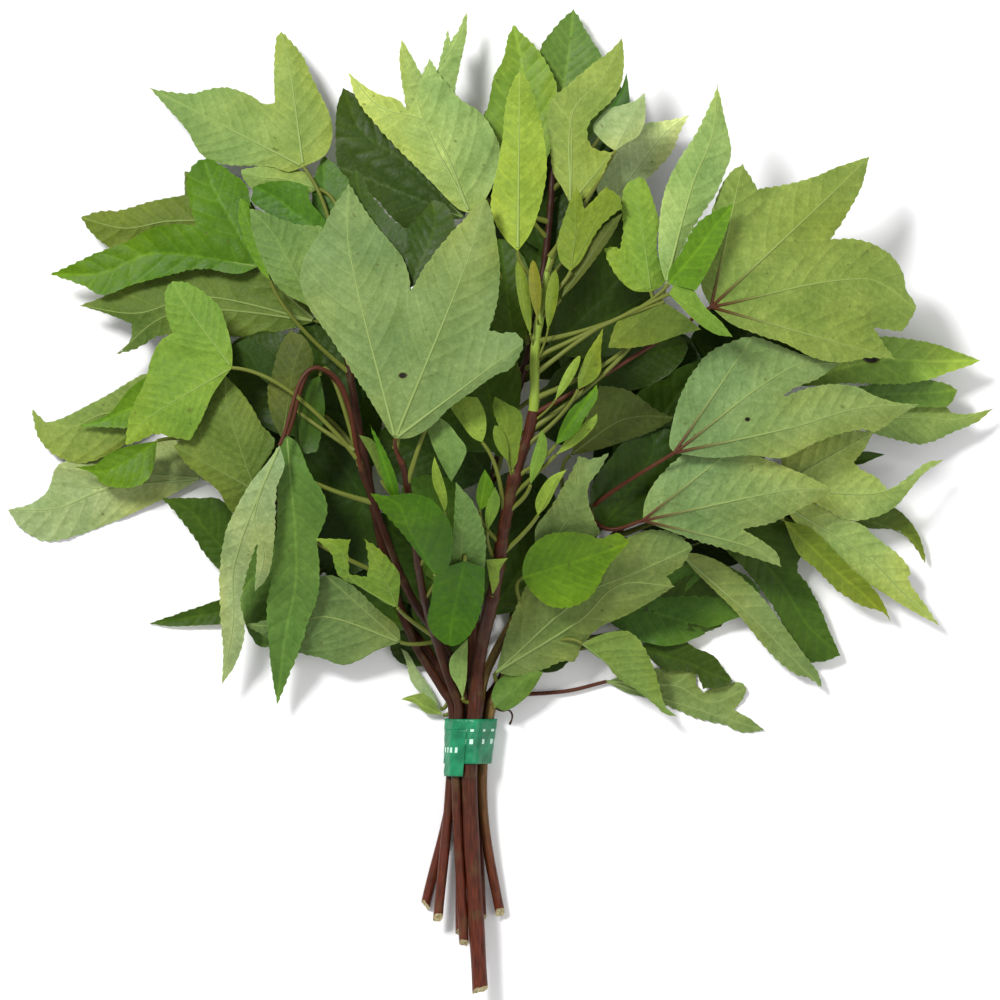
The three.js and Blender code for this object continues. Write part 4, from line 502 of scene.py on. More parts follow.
        leaf("dusk", 0.82, UNDER, (24, 80), [30, 86, 38, 96, 46, 108, 48.8, 114.5, TIP, 42, 110, 34, 100,
          27, 88]),
        leaf("lime", 0.86, UNDER, (7, 99), [12, 106, 16, 117, 18.5, 130, 18, 142, 15, 157, 12, 166,
          8, 172.5, TIP, 4, 165, 2, 157, 1, 145, -1, 133, -3.5, 121, -3, 113, 2, 104]),
        leaf("olive", 0.85, UNDER, (12, 66), lobes=[(7, 96, 5)]),
        leaf("shoot", 0.87, UNDER, (15, 72), lobes=[(13, 96, 5)]),
        leaf("olive", 0.86, UNDER, (19, 68), lobes=[(22, 92, 5)]),
        leaf("lime", 0.86, UNDER, (22, 40), lobes=[(32, 58, 4)]),
        leaf("olive", 0.84, UNDER, (31, 44), [37, 47.4, 40, 51.4, 40, 58.4, 41, 68.4, TIP, 37, 62.4,
          34, 57.4, 31, 49.4]),
        leaf("bright", 0.86, UPPER, (22, 22), [30, 26.4, 34, 33.4, 38.5, 40.4, 38.5, 46, TIP, 33, 40.4,
          28, 36.4, 24, 29]),
        leaf("lime", 0.84, UNDER, (22, 18), [29, 21.4, 35, 26.4, 38.5, 31.4, 38.5, 34.4, TIP, 33, 30.4,
          27, 25]),
        leaf("fresh", 0.87, UNDER, (12, 6), [16, 12.4, 18.5, 18.4, 18.5, 24.4, 16.5, 28, TIP, 15, 24.4,
          12, 14]),
        leaf("lime", 0.88, UNDER, (15, -6), [19, -1.6, 23, 6.4, 26.5, 12.4, TIP, 20, 9.4, 16, 4.4, 14, -1]),
        leaf("lime", 0.84, UNDER, (-7, 23), [-5.5, 28, -6, 35, -9, 41, -16, 41, -20.5, 38, TIP, -15, 30,
          -11, 25]),
        leaf("olive", 0.84, UNDER, (3, 16), lobes=[(-2, 30, 5)]),
        leaf("olive", 0.82, UNDER, (5, 12), [7, 16, 8, 23.4, 9, 30.4, 8, 35.4, 3, 38.4, -2, 41.4, TIP,
          -3, 37.4, -1, 30.4, 1, 23.4, 3, 16]),
        leaf("grass", 0.83, UPPER, (-8, -4), [-4, -0.6, -2.5, 5.4, -6, 12.4, TIP, -8, 8.4, -9.5, 1.4]),
        leaf("fresh", 0.85, UNDER, (-5, -12), [-1, -5, 0, 0.4, -2, 5.4, TIP, -5, -0.6, -6, -7]),
        leaf("lime", 0.86, UNDER, (-3, -38), [-0.5, -32.6, 0, -27.6, 3, -23, TIP, -5.5, -23.6, TIP,
          -4.5, -29.6]),
        leaf("sage", 0.78, UNDER, (-15, -79.6), [-13.5, -72, -13, -61.6, -13, -55.6, TIP, -16, -58.6,
          -20, -63.6, -20, -69.6, -17, -75]),
    ],
}]


def smoothstep(low, high, value):
    """A soft step from 0 to 1."""
    t = np.clip((np.asarray(value, float) - low) / (high - low), 0, 1)
    return t * t * (3 - 2 * t)


def bunch_top(x, y):
    """Height of the bunch's top above the table at places seen from above."""
    off = (x / BUNCH_HALF_WIDTH) ** 2 + ((y - BUNCH_MIDDLE_Y) / BUNCH_HALF_LENGTH) ** 2
    dome = RIM_HEIGHT + (CROWN_HEIGHT - RIM_HEIGHT) * (1 - np.minimum(off, 1))
    rise = smoothstep(RISE_START_Y, RISE_START_Y + RISE_LENGTH, y)
    return TIE_HEIGHT + (dome - TIE_HEIGHT) * rise


def level_height(level, x, y):
    """Height of a level of the bunch above the table at places seen from above."""
    lowest = BLADE_THICKNESS / 2
    return lowest + (bunch_top(x, y) - lowest) * level


def lengths(vectors):
    """Lengths of vectors."""
    return np.linalg.norm(vectors, axis=-1)


def run_along(line):
    """Way along a line to each of its places."""
    return np.append(0, np.cumsum(lengths(np.diff(line, axis=0))))


def wrapped(angles):
    """The same angles between minus and plus half a turn."""
    return np.remainder(angles + math.pi, TAU) - math.pi


def unit(vector):
    """A vector's direction."""
    return vector / max(np.linalg.norm(vector), 1e-9)


def units(vectors):
    """The directions of several vectors."""
    return vectors / np.maximum(lengths(vectors), 1e-9)[:, None]


def turned(vector, angle):
    """A vector turned to the left by an angle."""
    c, s = math.cos(angle), math.sin(angle)
    return np.array([c * vector[0] - s * vector[1], s * vector[0] + c * vector[1]])


def spline(points, step):
    """A smooth line through points, with places about step apart."""
    points = np.asarray(points, float)
    if len(points) < 2:
        return points
    before = np.vstack([2 * points[:1] - points[1:2], points[:-1]])
    after = np.vstack([points[1:], 2 * points[-1:] - points[-2:-1]])
    line = []
    for i in range(len(points) - 1):
        a, b = points[i], points[i + 1]
        span = np.linalg.norm(b - a)
        leave = unit(after[i] - before[i]) * span
        arrive = unit(after[i + 1] - before[i + 1]) * span
        count = max(int(round(span / step)), 1)
        t = (np.arange(count) / count)[:, None]
        line.append((2 * t**3 - 3 * t**2 + 1) * a + (t**3 - 2 * t**2 + t) * leave
                    + (3 * t**2 - 2 * t**3) * b + (t**3 - t**2) * arrive)
    return np.vstack(line + [points[-1:]])


def inside(outline, points):
    """Which points lie inside a closed outline."""
    a, b = outline, np.roll(outline, -1, axis=0)
    x, y = points[:, :1], points[:, 1:]
    crosses = (a[:, 1] > y) != (b[:, 1] > y)
    rise = np.where(b[:, 1] == a[:, 1], 1e-9, b[:, 1] - a[:, 1])
    left_of = x < a[:, 0] + (y - a[:, 1]) * (b[:, 0] - a[:, 0]) / rise
    return (crosses & left_of).sum(1) % 2 == 1


def distances(points, line):
    """Distance from each point to a line."""
    a, span = line[:-1], line[1:] - line[:-1]
    t = ((points[:, None] - a) * span).sum(2) / np.maximum((span**2).sum(1), 1e-9)
    return lengths(points[:, None] - a - np.clip(t, 0, 1)[..., None] * span).min(1)


def smooth_edge(corners):
    """A leaf's edge, smooth but for its sharp corners at the foot, the tips and the cuts."""
    corners = np.asarray(corners, float)
    into = corners - np.roll(corners, 1, axis=0)
    out = np.roll(corners, -1, axis=0) - corners
    turn = [abs(math.remainder(math.atan2(*out[i][::-1]) - math.atan2(*into[i][::-1]), TAU))
            for i in range(len(corners))]
    sharp = [i for i in range(len(corners)) if turn[i] > SHARP_TURN or i == 0] + [len(corners)]
    looped = np.vstack([corners, corners[:1]])
    runs = [spline(looped[a : b + 1], EDGE_STEP)[:-1] for a, b in zip(sharp[:-1], sharp[1:])]
    return np.vstack(runs)


def toothed(edge, foot, tooth, rng):
    """The edge with small forward teeth, lower near the foot."""
    along = np.roll(edge, -1, axis=0) - np.roll(edge, 1, axis=0)
    normal = units(np.stack([along[:, 1], -along[:, 0]], 1))
    run = np.cumsum(lengths(edge - np.roll(edge, 1, axis=0)))
    phase = (run / TOOTH_LENGTH + 0.35 * np.sin(run / 9 + rng.random() * 6)) % 1
    far = lengths(edge - foot)
    depth = tooth * smoothstep(6, 24, far) * (0.7 + 0.3 * np.sin(run / 13 + rng.random() * 6))
    return edge + normal * (depth * (phase - TOOTH_MIDDLE))[:, None]


def rib_to(tip, foot, edge):
    """A main rib from the foot to a lobe's tip, along the middle of the lobe."""
    way = tip - foot
    length = np.linalg.norm(way)
    side = np.array([-way[1], way[0]]) / length
    a, b = edge, np.roll(edge, -1, axis=0)
    limit = RIB_SHIFT * length
    choices = []
    for share, weight in RIB_PULLS:
        middle = foot + share * way
        u, v = (a - middle) @ way, (b - middle) @ way
        crossed = u * v < 0
        hit = a[crossed] + (u / np.where(crossed, u - v, 1))[crossed, None] * (b - a)[crossed]
        reach = np.sort((hit - middle) @ side)
        pairs = [(reach[i] + reach[i + 1]) / 2 for i in range(0, len(reach) - 1, 2)
                 if reach[i + 1] - reach[i] < LOBE_WIDTH * length]
        shifts = [pair * pull for pull in (weight, 1) for pair in sorted(pairs, key=abs)]
        choices.append([[middle + side * np.clip(shift, -limit, limit)] for shift in shifts] or [[]])
    ribs = [spline([foot] + first + second + [tip], VEIN_STEP)
            for first in choices[0] for second in choices[1]]
    ribs.append(spline([foot, tip], VEIN_STEP))
    return max(ribs, key=lambda line: inside(edge, line).mean())


def side_veins(ribs, edge, length):
    """Side veins that leave each main rib in turn to the left and right and bend towards its tip."""
    veins = []
    drawn = np.full((1, 2), 9000.0)
    gap = np.clip(length * VEIN_GAP, *VEIN_GAPS)
    free = int(VEIN_CLEAR * gap / VEIN_STEP) + 2
    for number, rib in enumerate(ribs):
        count = int(len(rib) * VEIN_STEP / gap)
        for k in range(1, count):
            at = int(len(rib) * (k + 0.1) / (count + 0.3))
            heading = unit(rib[min(at + 2, len(rib) - 1)] - rib[max(at - 2, 0)])
            for side in (-1, 1):
                start = max(at - (2 if side > 0 else 0), 1)
                lean = VEIN_LEAN if k > 1 else FIRST_VEIN_LEAN
                line = [rib[start]]
                for step in range(int(length * VEIN_REACH / VEIN_STEP)):
                    turn = side * max(lean - VEIN_BEND * step, LEAST_LEAN)
                    line.append(line[-1] + VEIN_STEP * turned(heading, turn))
                line = np.array(line)
                fine = inside(edge, line)
                fine[0] = True
                nearest = np.array([distances(line, other) for other in ribs])
                fine &= nearest[number] <= nearest.min(0) + 0.8
                apart = lengths(line[:, None] - drawn[None]).min(1)
                fine[free:] &= apart[free:] > VEIN_CLEAR * gap
                stop = len(line) if fine.all() else int(np.argmin(fine))
                if stop > free:
                    veins.append(line[:stop])
                    drawn = np.vstack([drawn, line[:stop]])
    return veins


def formula_edge(foot, lobes):
    """Edge of a leaf that is given by its lobes: each lobe is a pointed oval round its own line."""
    angles = np.array([math.atan2(y - foot[1], x - foot[0]) for x, y, _ in lobes])
    turns = np.linspace(-math.pi, math.pi, 145)[:-1]
    slim = max(width for _, _, width in lobes)
    reach = np.full(len(turns), min(2.5, 0.1 * slim))
    for (x, y, width), angle in zip(lobes, angles):
        length = math.dist((x, y), foot)
        t = np.linspace(0.02, 1, 60)
        half = width / 2 * (t / LOBE_WIDEST) ** LOBE_RISE * np.maximum((1 - t) / LOBE_REST, 0) ** LOBE_CLOSE
        along = t * length
        seen = np.arctan2(half, along)
        off = np.abs(wrapped(turns - angle))
        for turn, out in zip(seen, np.hypot(half, along)):
            reach = np.where(off <= turn, np.maximum(reach, out), reach)
    start = int(np.argmin(np.cos(turns - angles.mean())))
    order = np.roll(np.arange(len(turns)), -start)
    places = np.array(foot) + reach[:, None] * np.stack([np.cos(turns), np.sin(turns)], 1)
    return places[order]


def leaf_plan(leaf, rng):
    """Edge, main ribs and side veins of a leaf, seen from above."""
    foot = np.array(leaf["foot"], float)
    tips = [np.array(tip, float) for tip in leaf["tips"]]
    if leaf["corners"]:
        edge = smooth_edge([leaf["foot"]] + leaf["corners"])
    else:
        edge = formula_edge(leaf["foot"], leaf["lobes"])
    length = max(np.linalg.norm(tip - foot) for tip in tips)
    ribs = [rib_to(tip, foot, edge) for tip in tips]
    tooth = TOOTH_DEPTH * float(smoothstep(12, 45, length))
    edge = toothed(edge, foot, tooth, rng)
    inner = [rib[inside(edge, rib)] for rib in ribs]
    ribs = [rib if len(rib) > 2 else whole for rib, whole in zip(inner, ribs)]
    veins = side_veins(ribs, edge, length) if length > YOUNG_LENGTH else []
    return foot, tips, length, edge, ribs, veins


def blade_heights(leaf, foot, tips, length, points, near_rib, near_vein):
    """Height of a blade's middle: folded along its ribs, waved, and puffed up a little between its veins."""
    x, y = points[:, 0], points[:, 1]
    out = lengths(points - foot)
    straight = []
    for tip in tips:
        turn = np.arctan2(y - foot[1], x - foot[0]) - math.atan2(tip[1] - foot[1], tip[0] - foot[0])
        straight.append(out * np.abs(np.sin(np.clip(wrapped(turn), -1.5, 1.5))))
    fold = leaf["face"] * FOLD_SLOPE * (0.5 * np.min(straight, axis=0) + 0.5 * near_rib)
    wave = WAVE_HEIGHT * np.minimum(out / length, 1) * np.sin((x + 2 * y) / WAVE_LENGTH * TAU)
    puff = leaf["face"] * PUFF_HEIGHT * np.minimum(np.minimum(near_vein, near_rib), PUFF_REACH) / PUFF_REACH
    ruffle = RUFFLE_HEIGHT * smoothstep(5, 16, near_rib) * np.sin(0.31 * x - 0.23 * y + leaf["level"] * 40)
    middle = np.maximum(level_height(leaf["level"], x, y) + fold + wave, LOWEST_MIDDLE)
    return np.maximum(middle + puff + ruffle, BLADE_HALF + 0.1)


def blade_mesh(leaf, rng):
    """A leaf's blade as points, faces and values for its material."""
    foot, tips, length, edge, ribs, veins = leaf_plan(leaf, rng)
    loop = np.vstack([edge, edge[:1]])
    low, high = edge.min(0), edge.max(0)
    grid = GRID_STEP if length > YOUNG_LENGTH else GRID_STEP * YOUNG_GRID
    columns = np.arange(low[0], high[0], grid)
    rows = np.arange(low[1], high[1], grid * ROW_STEP)
    mesh = np.array([(x + (k % 2) * grid / 2, y) for k, y in enumerate(rows) for x in columns])
    if len(mesh):
        mesh = mesh + rng.uniform(-GRID_SHAKE, GRID_SHAKE, mesh.shape) * grid
        mesh = mesh[inside(edge, mesh)]
    if len(mesh):
        mesh = mesh[distances(mesh, loop) > 0.45 * grid]
        for line in ribs + veins:
            mesh = mesh[distances(mesh, line) > 0.42 * grid] if len(mesh) else mesh
    points = [edge]
    lines = [(i, (i + 1) % len(edge)) for i in range(len(edge))]
    count = len(edge)
    turns = np.arange(SPOT_SIDES) / SPOT_SIDES * TAU
    for x, y, width, height in leaf.get("spots", []):
        for share in SPOT_RINGS:
            ring = np.stack([x + share * width * np.cos(turns), y + share * height * np.sin(turns)], 1)
            points.append(ring)
            lines += [(count + i, count + (i + 1) % SPOT_SIDES) for i in range(SPOT_SIDES)]
            count += SPOT_SIDES
    for line in ribs + veins:
        points.append(line)
        lines += [(count + i, count + i + 1) for i in range(len(line) - 1)]
        count += len(line)
    points = np.vstack(points + [mesh]) if len(mesh) else np.vstack(points)
    result = delaunay_2d_cdt([Vector(point) for point in points], lines, [], 0, 1e-4)
    flat = np.array([tuple(vertex) for vertex in result[0]])
    faces = np.array(result[2])
    faces = faces[inside(edge, flat[faces].mean(1))]
    used = np.unique(faces)
    order = np.full(len(flat), -1)
    order[used] = np.arange(len(used))
    flat, faces = flat[used], order[faces]
    a, b, c = (flat[faces[:, k]] for k in range(3))
    flipped = (b[:, 0] - a[:, 0]) * (c[:, 1] - a[:, 1]) < (b[:, 1] - a[:, 1]) * (c[:, 0] - a[:, 0])
    faces[flipped] = faces[flipped][:, ::-1]
    near_rib = np.min([distances(flat, rib) for rib in ribs], axis=0)
    near_vein = np.min([distances(flat, vein) for vein in veins], axis=0) if veins else near_rib + 3
    middle = blade_heights(leaf, foot, tips, length, flat, near_rib, near_vein)
    near_edge = distances(flat, loop)
    marks = np.stack([near_rib, near_vein, near_edge], 1) * max(1, YOUNG_LENGTH / length)
    return length, flat, faces, middle, marks, ribs


class Piece:
    """Collects the points, faces and values of one mesh."""

    def __init__(self, name, materials):
        self.name = name
        self.materials = materials
        self.points, self.faces, self.slots, self.tones, self.marks = [], [], [], [], []
        self.count = 0

    def add(self, points, faces, slot, tone, marks=None):
        """Adds faces in one slot, or with a slot for each."""
        points = np.asarray(points, float)
        self.points.append(points)
        faces = faces.tolist() if isinstance(faces, np.ndarray) else faces
        self.faces += [[corner + self.count for corner in face] for face in faces]
        self.slots += np.broadcast_to(slot, len(faces)).tolist()
        self.tones.append(np.column_stack([np.ones((len(points), 3)) * tone, np.ones(len(points))]))
        self.marks.append(np.zeros((len(points), 3)) if marks is None else np.asarray(marks, float))
        self.count += len(points)

    def build(self):
        """The finished mesh object, with its tones, marks and plan for the materials."""
        mesh = bpy.data.meshes.new(self.name)
        points = np.vstack(self.points)
        mesh.from_pydata((points * MM).tolist(), [], self.faces)
        for material in self.materials:
            mesh.materials.append(material)
        mesh.polygons.foreach_set("material_index", self.slots)
        mesh.polygons.foreach_set("use_smooth", [True] * len(self.faces))
        tone = mesh.attributes.new("tone", "FLOAT_COLOR", "POINT")
        tone.data.foreach_set("color", np.vstack(self.tones).ravel())
        marks = mesh.attributes.new("marks", "FLOAT_VECTOR", "POINT")
        marks.data.foreach_set("vector", np.vstack(self.marks).ravel())
        uv = mesh.uv_layers.new(name="plan")
        corners = np.empty(len(mesh.loops), np.int32)
        mesh.loops.foreach_get("vertex_index", corners)
        uv.data.foreach_set("uv", (points[corners, :2] * 0.01).ravel())
        mesh.update()
        piece = bpy.data.objects.new(self.name, mesh)
        bpy.context.scene.collection.objects.link(piece)
        return piece


def cut_grain(turns):
    """Small unevenness of a cut end round its rim."""
    return 0.25 * np.sin(3 * turns + 1) + 0.18 * np.sin(7 * turns)


def add_rod(piece, points, radii, sides, slot, tone, squash=1.0, cap_slot=None, fade=None,
            reach=RIB_FADE, cut=None):
    """A round rod through points, with its own radius at each. Its tone may fade, and its start be cut."""
    points = np.asarray(points, float)
    along = units(np.gradient(points, axis=0))
    across = units(np.stack([along[:, 1], -along[:, 0], np.zeros(len(points))], 1))
    up = np.cross(across, along)
    turns = np.arange(sides) / sides * TAU
    ring = (np.cos(turns)[None, :, None] * across[:, None]
            + squash * np.sin(turns)[None, :, None] * up[:, None])
    skin = points[:, None] + ring * np.asarray(radii)[:, None, None]
    if cut is not None:
        skin[0] += along[0] * (radii[0] * (ring[0] @ np.array(cut)) + cut_grain(turns))[:, None]
    run = run_along(points)
    marks = np.zeros((len(points), sides, 3))
    marks[:, :, 0] = run[:, None]
    marks[:, :, 1] = turns
    faces = []
    for i in range(len(points) - 1):
        for k in range(sides):
            a, b = i * sides + k, i * sides + (k + 1) % sides
            faces.append([a, a + sides, b + sides, b])
    tones = np.tile(tone, (len(points) * sides, 1))
    if fade is not None:
        share = np.repeat(smoothstep(0, reach, run), sides)[:, None]
        tones = tones + (np.array(fade) - tones) * share
    piece.add(skin.reshape(-1, 3), faces, slot, tones, marks.reshape(-1, 3))
    for ring_points, way in ((skin[0], 1), (skin[-1], -1)):
        centre = ring_points.mean(0)
        disc = np.vstack([ring_points, 0.5 * (ring_points + centre), centre[None]])
        fan = []
        for k in range(sides):
            n = (k + 1) % sides
            fan += [[k, n, sides + n], [k, sides + n, sides + k], [sides + k, sides + n, 2 * sides]]
        fan = [face[::way] for face in fan]
        piece.add(disc, fan, slot if cap_slot is None else cap_slot, tone)


def add_blade(piece, leaf, rng):
    """One leaf's blade as a thin closed solid, its raised ribs on the underside."""
    length, flat, faces, middle, marks, ribs = blade_mesh(leaf, rng)
    tone = np.array(TONES[leaf["tone"]]) * (1 + rng.uniform(-LEAF_TONE_SWING, LEAF_TONE_SWING))
    back = np.array(TONES["pale" if leaf["face"] == UPPER else "dark"])
    top = np.column_stack([flat, middle + BLADE_HALF])
    bottom = np.column_stack([flat, middle - BLADE_HALF])
    seen, hidden = (0, 1) if leaf["face"] == UPPER else (1, 0)
    tones = np.tile(tone, (len(flat), 1))
    # Holes are drawn as spots: a brown rim, and inside it painted shadow seen through the hole
    for x, y, width, height in leaf.get("spots", []):
        far = np.hypot((flat[:, 0] - x) / width, (flat[:, 1] - y) / height)
        tones[far < SPOT_RIM] = TONES["hole_rim"]
        tones[far < SPOT_HEART] = TONES["hole_shadow"]
    piece.add(top, faces, seen, tones, marks)
    piece.add(bottom, faces[:, ::-1], hidden, back, marks)
    pairs = np.vstack([faces[:, [0, 1]], faces[:, [1, 2]], faces[:, [2, 0]]])
    known = {tuple(pair) for pair in pairs.tolist()}
    rim = [pair for pair in pairs.tolist() if (pair[1], pair[0]) not in known]
    ids = sorted({corner for pair in rim for corner in pair})
    place = {corner: i for i, corner in enumerate(ids)}
    count = len(ids)
    quads = [[place[a], place[a] + count, place[b] + count, place[b]] for a, b in rim]
    piece.add(np.vstack([top[ids], bottom[ids]]), quads, 1, back * 0.9, np.vstack([marks[ids], marks[ids]]))
    pale = PALE_RIB * float(smoothstep(25, 70, length))
    pale_rib = (1 - pale) * tone + pale * np.array(TONES["rib"])
    rib_tone = TONES["red"] if "rib" in leaf else pale_rib
    side = -leaf["face"]
    for rib in ribs:
        if len(rib) < 4:
            continue
        distance = lengths(flat[None] - rib[:, None])
        height = middle[distance.argmin(1)] + side * BLADE_HALF
        share = np.linspace(0, 1, len(rib))
        size = RIB_RADIUS * min(length / 70, 1.1)
        radii = size * (1 - 0.85 * share**0.7) + 0.06
        add_rod(piece, np.column_stack([rib, height]), radii, RIB_SIDES, 2, rib_tone, squash=0.8,
                fade=pale_rib)


def slot_point(stem, y):
    """Centre of a stem's slot in the tie at a place along the tape."""
    way = (y - TAPE_BOTTOM_Y) / (TAPE_TOP_Y - TAPE_BOTTOM_Y)
    spread = 1 + (TAPE_TOP_SPREAD - 1) * way
    x = TAPE_BOTTOM_X + (TAPE_TOP_X - TAPE_BOTTOM_X) * way + stem["slot"][0] * spread
    return [x, y, stem["slot"][1]]


def stem_line(stem):
    """A stem's centre line from its cut end, straight through the tie and up into the leaves."""
    tie = [slot_point(stem, y) for y in (TAPE_BOTTOM_Y - TIE_MARGIN, TAPE_TOP_Y + TIE_MARGIN)]
    above = []
    for x, y in stem["path"]:
        free = float(smoothstep(TAPE_TOP_Y, TAPE_TOP_Y + SPREAD_LENGTH, y))
        height = max(float(level_height(stem["level"], x, y)), stem["radius"])
        above.append([x, y, stem["slot"][1] + (height - stem["slot"][1]) * free])
    below = [stem[key] for key in ("cut", "knee") if key in stem]
    return spline(below + tie + above, STEM_STEP)


def stalk_start(line, taken, leaf):
    """Where a leaf's stalk leaves its stem."""
    places = line[line[:, 1] > TAPE_TOP_Y + TIE_MARGIN][::2]
    crowd = np.zeros(len(places))
    for other in taken:
        crowd = np.maximum(crowd, 1 - lengths(places - other) / STALK_SPACING)
    if "start" in leaf:
        cost = lengths(places[:, :2] - leaf["start"])
    else:
        heading = np.gradient(places, axis=0)
        way = np.array(leaf["foot"]) - places[:, :2]
        lean = np.arctan2(way[:, 1], way[:, 0]) - np.arctan2(heading[:, 1], heading[:, 0])
        cost = LEAN_COST * np.abs(np.abs(wrapped(lean)) - STALK_LEAN) + 0.5 * lengths(way)
    return places[int(np.argmin(cost + CROWD_COST * crowd))]


def stalk_line(start, leaf):
    """A stalk from its stem to the leaf's foot, in a gentle bend or round the place given."""
    foot = np.array(leaf["foot"], float)
    inward = unit(np.mean(leaf["tips"], axis=0) - foot)
    origin = start[:2]
    if "via" in leaf:
        plan = spline([origin, leaf["via"], foot], STALK_STEP)
    else:
        bend = foot - STALK_BEND * np.linalg.norm(foot - origin) * inward
        t = np.linspace(0, 1, max(int(np.linalg.norm(foot - origin) / STALK_STEP), 4))[:, None]
        plan = (1 - t) ** 2 * origin + 2 * t * (1 - t) * bend + t**2 * foot
    low = BLADE_THICKNESS / 2
    begin = (start[2] - low) / (float(bunch_top(*start[:2])) - low)
    share = np.linspace(0, 1, len(plan))
    level = begin + (leaf["level"] - begin) * share
    height = np.maximum(level_height(level, plan[:, 0], plan[:, 1]), STALK_RADIUS)
    return np.column_stack([plan, height])


def add_stem(piece, stem, rng):
    """A stem with its knots and the stalks of its leaves."""
    line = stem_line(stem)
    run = run_along(line)
    up = np.clip((line[:, 1] - TAPE_TOP_Y) / (stem["path"][-1][1] - TAPE_TOP_Y), 0, 1)
    radii = stem["radius"] + (STEM_TOP_RADIUS - stem["radius"]) * up
    taken = []
    for leaf in stem["leaves"]:
        start = stalk_start(line, taken, leaf)
        taken.append(start)
        stalk = stalk_line(start, leaf)
        size = YOUNG_STALK_RADIUS if len(leaf["lobes"]) == 1 else STALK_RADIUS * STALK_THICKNESS
        share = np.linspace(0, 1, len(stalk))
        thick = size * (1 + 0.5 * np.exp(-share * 14) - 0.22 * share)
        add_rod(piece, stalk, thick, STALK_SIDES, 0, TONES[leaf.get("stalk", "stalk")])
        at = int(np.argmin(lengths(line - start)))
        radii = radii * (1 + KNOT_SWELL * np.exp(-(((run - run[at]) / KNOT_LENGTH) ** 2)))
    radii = radii * (1 + 0.03 * np.sin(run / 5.3 + rng.random() * 6))
    radii = radii * np.clip(0.3 + (run[-1] - run) / STEM_TIP_LENGTH, 0.3, 1)
    line, radii = (np.delete(values, (1, 2), axis=0) for values in (line, radii))
    split = int(np.argmax(line[:, 1] > stem.get("green_from", 999))) or len(line) - 1
    add_rod(piece, line[: split + 1], radii[: split + 1], STEM_SIDES, 1, TONES["russet"], cap_slot=2,
            fade=TONES[stem["bark"]], reach=BARK_FADE, cut=stem["cut_way"])
    if split < len(line) - 1:
        add_rod(piece, line[split:], radii[split:], STEM_TOP_SIDES, 0, TONES["lime"])


def add_curl(piece, places):
    """A thin dry stalk that curls out beside the tie."""
    line = spline(places, 0.5)
    share = np.linspace(0, 1, len(line))
    radii = CURL_RADIUS * (1 - 0.5 * share + 0.4 * smoothstep(0.85, 1, share))
    add_rod(piece, line, radii, CURL_SIDES, 0, TONES["wine"])


def tie_ring(y, offset, turns):
    """Outline round the stems in the tie, seen along them, in given directions from its middle."""
    centres = [(slot_point(stem, y), stem["radius"]) for stem in STEMS]
    around = np.arange(TIE_CORNERS) / TIE_CORNERS * TAU
    rim = np.vstack([np.stack([c[0] + (r + offset) * np.cos(around), c[2] + (r + offset) * np.sin(around)], 1)
                     for c, r in centres])
    hull = rim[convex_hull_2d([Vector(point) for point in rim])]
    way = (y - TAPE_BOTTOM_Y) / (TAPE_TOP_Y - TAPE_BOTTOM_Y)
    middle = np.array([TAPE_BOTTOM_X + (TAPE_TOP_X - TAPE_BOTTOM_X) * way, TIE_MIDDLE_Z])
    reaches = []
    for turn in turns:
        ray = np.array([math.cos(turn), math.sin(turn)])
        a, b = hull - middle, np.roll(hull, -1, axis=0) - middle
        side_a, side_b = a[:, 0] * ray[1] - a[:, 1] * ray[0], b[:, 0] * ray[1] - b[:, 1] * ray[0]
        crossed = (side_a * side_b <= 0) & (side_a != side_b)
        share = side_a[crossed] / (side_a - side_b)[crossed]
        hit = a[crossed] + share[:, None] * (b - a)[crossed]
        reaches.append(middle + ray * max(hit @ ray))
    places = np.array(reaches)
    return np.column_stack([places[:, 0], np.full(len(turns), y), places[:, 1]])


def add_band(piece, bottom, top, inner, outer, turns, closed, dashed, rng):
    """A band of tape round the tie with slight wrinkles and rows of plain dashes, closed or with two ends."""
    rows = np.linspace(bottom, top, TAPE_ROWS)
    swing = rng.uniform(0, 6, 4)
    loops = []
    for offset, order in ((outer, rows), (inner, rows[::-1])):
        for y in order:
            ring = tie_ring(y, offset, turns)
            crease = np.sin(turns * 9 + y * 0.55 + swing[0]) * np.sin(y * 0.9 + swing[1] + turns * 3)
            fine = np.sin(turns * 31 + y * 1.3 + swing[2])
            out = ring - np.array([TAPE_TOP_X, y, TIE_MIDDLE_Z])
            out[:, 1] = 0
            out /= lengths(out)[:, None]
            push = (CREASE_HEIGHT * crease + FINE_CREASE_HEIGHT * fine) * (offset == outer)
            loops.append(ring + out * push[:, None])
    count, layers = len(turns), len(loops)
    group = np.arange(count) // DASH_FACES
    dash = (group % 2 == 1) & (rng.random(count // DASH_FACES + 1)[group] > DASH_GAPS)
    faces, slots = [], []
    for loop in range(layers):
        after_loop = (loop + 1) % layers
        for k in range(count if closed else count - 1):
            n = (k + 1) % count
            faces.append([loop * count + k, loop * count + n, after_loop * count + n,
                          after_loop * count + k])
            slots.append(int(loop in dashed and bool(dash[k])))
    if not closed:
        faces.append([loop * count for loop in range(layers)])
        faces.append([loop * count + count - 1 for loop in range(layers)][::-1])
        slots += [0, 0]
    piece.add(np.vstack(loops), faces, slots, TONES["tape"])


def add_node(tree, kind, settings=None, links=None):
    """A shader node with its settings and the links into it."""
    node = tree.nodes.new(kind)
    for key, value in (settings or {}).items():
        if isinstance(key, int) or key in node.inputs:
            node.inputs[key].default_value = value
        else:
            setattr(node, key, value)
    for key, source in (links or {}).items():
        tree.links.new(source, node.inputs[key])
    return node


def read(tree, name, output):
    """A value that the mesh carries."""
    return add_node(tree, "ShaderNodeAttribute", {"attribute_name": name}).outputs[output]


def math_node(tree, how, a, b):
    """Two values put together by a sum, a product or the larger one."""
    return add_node(tree, "ShaderNodeMath", {"operation": how}, {0: a, 1: b}).outputs[0]


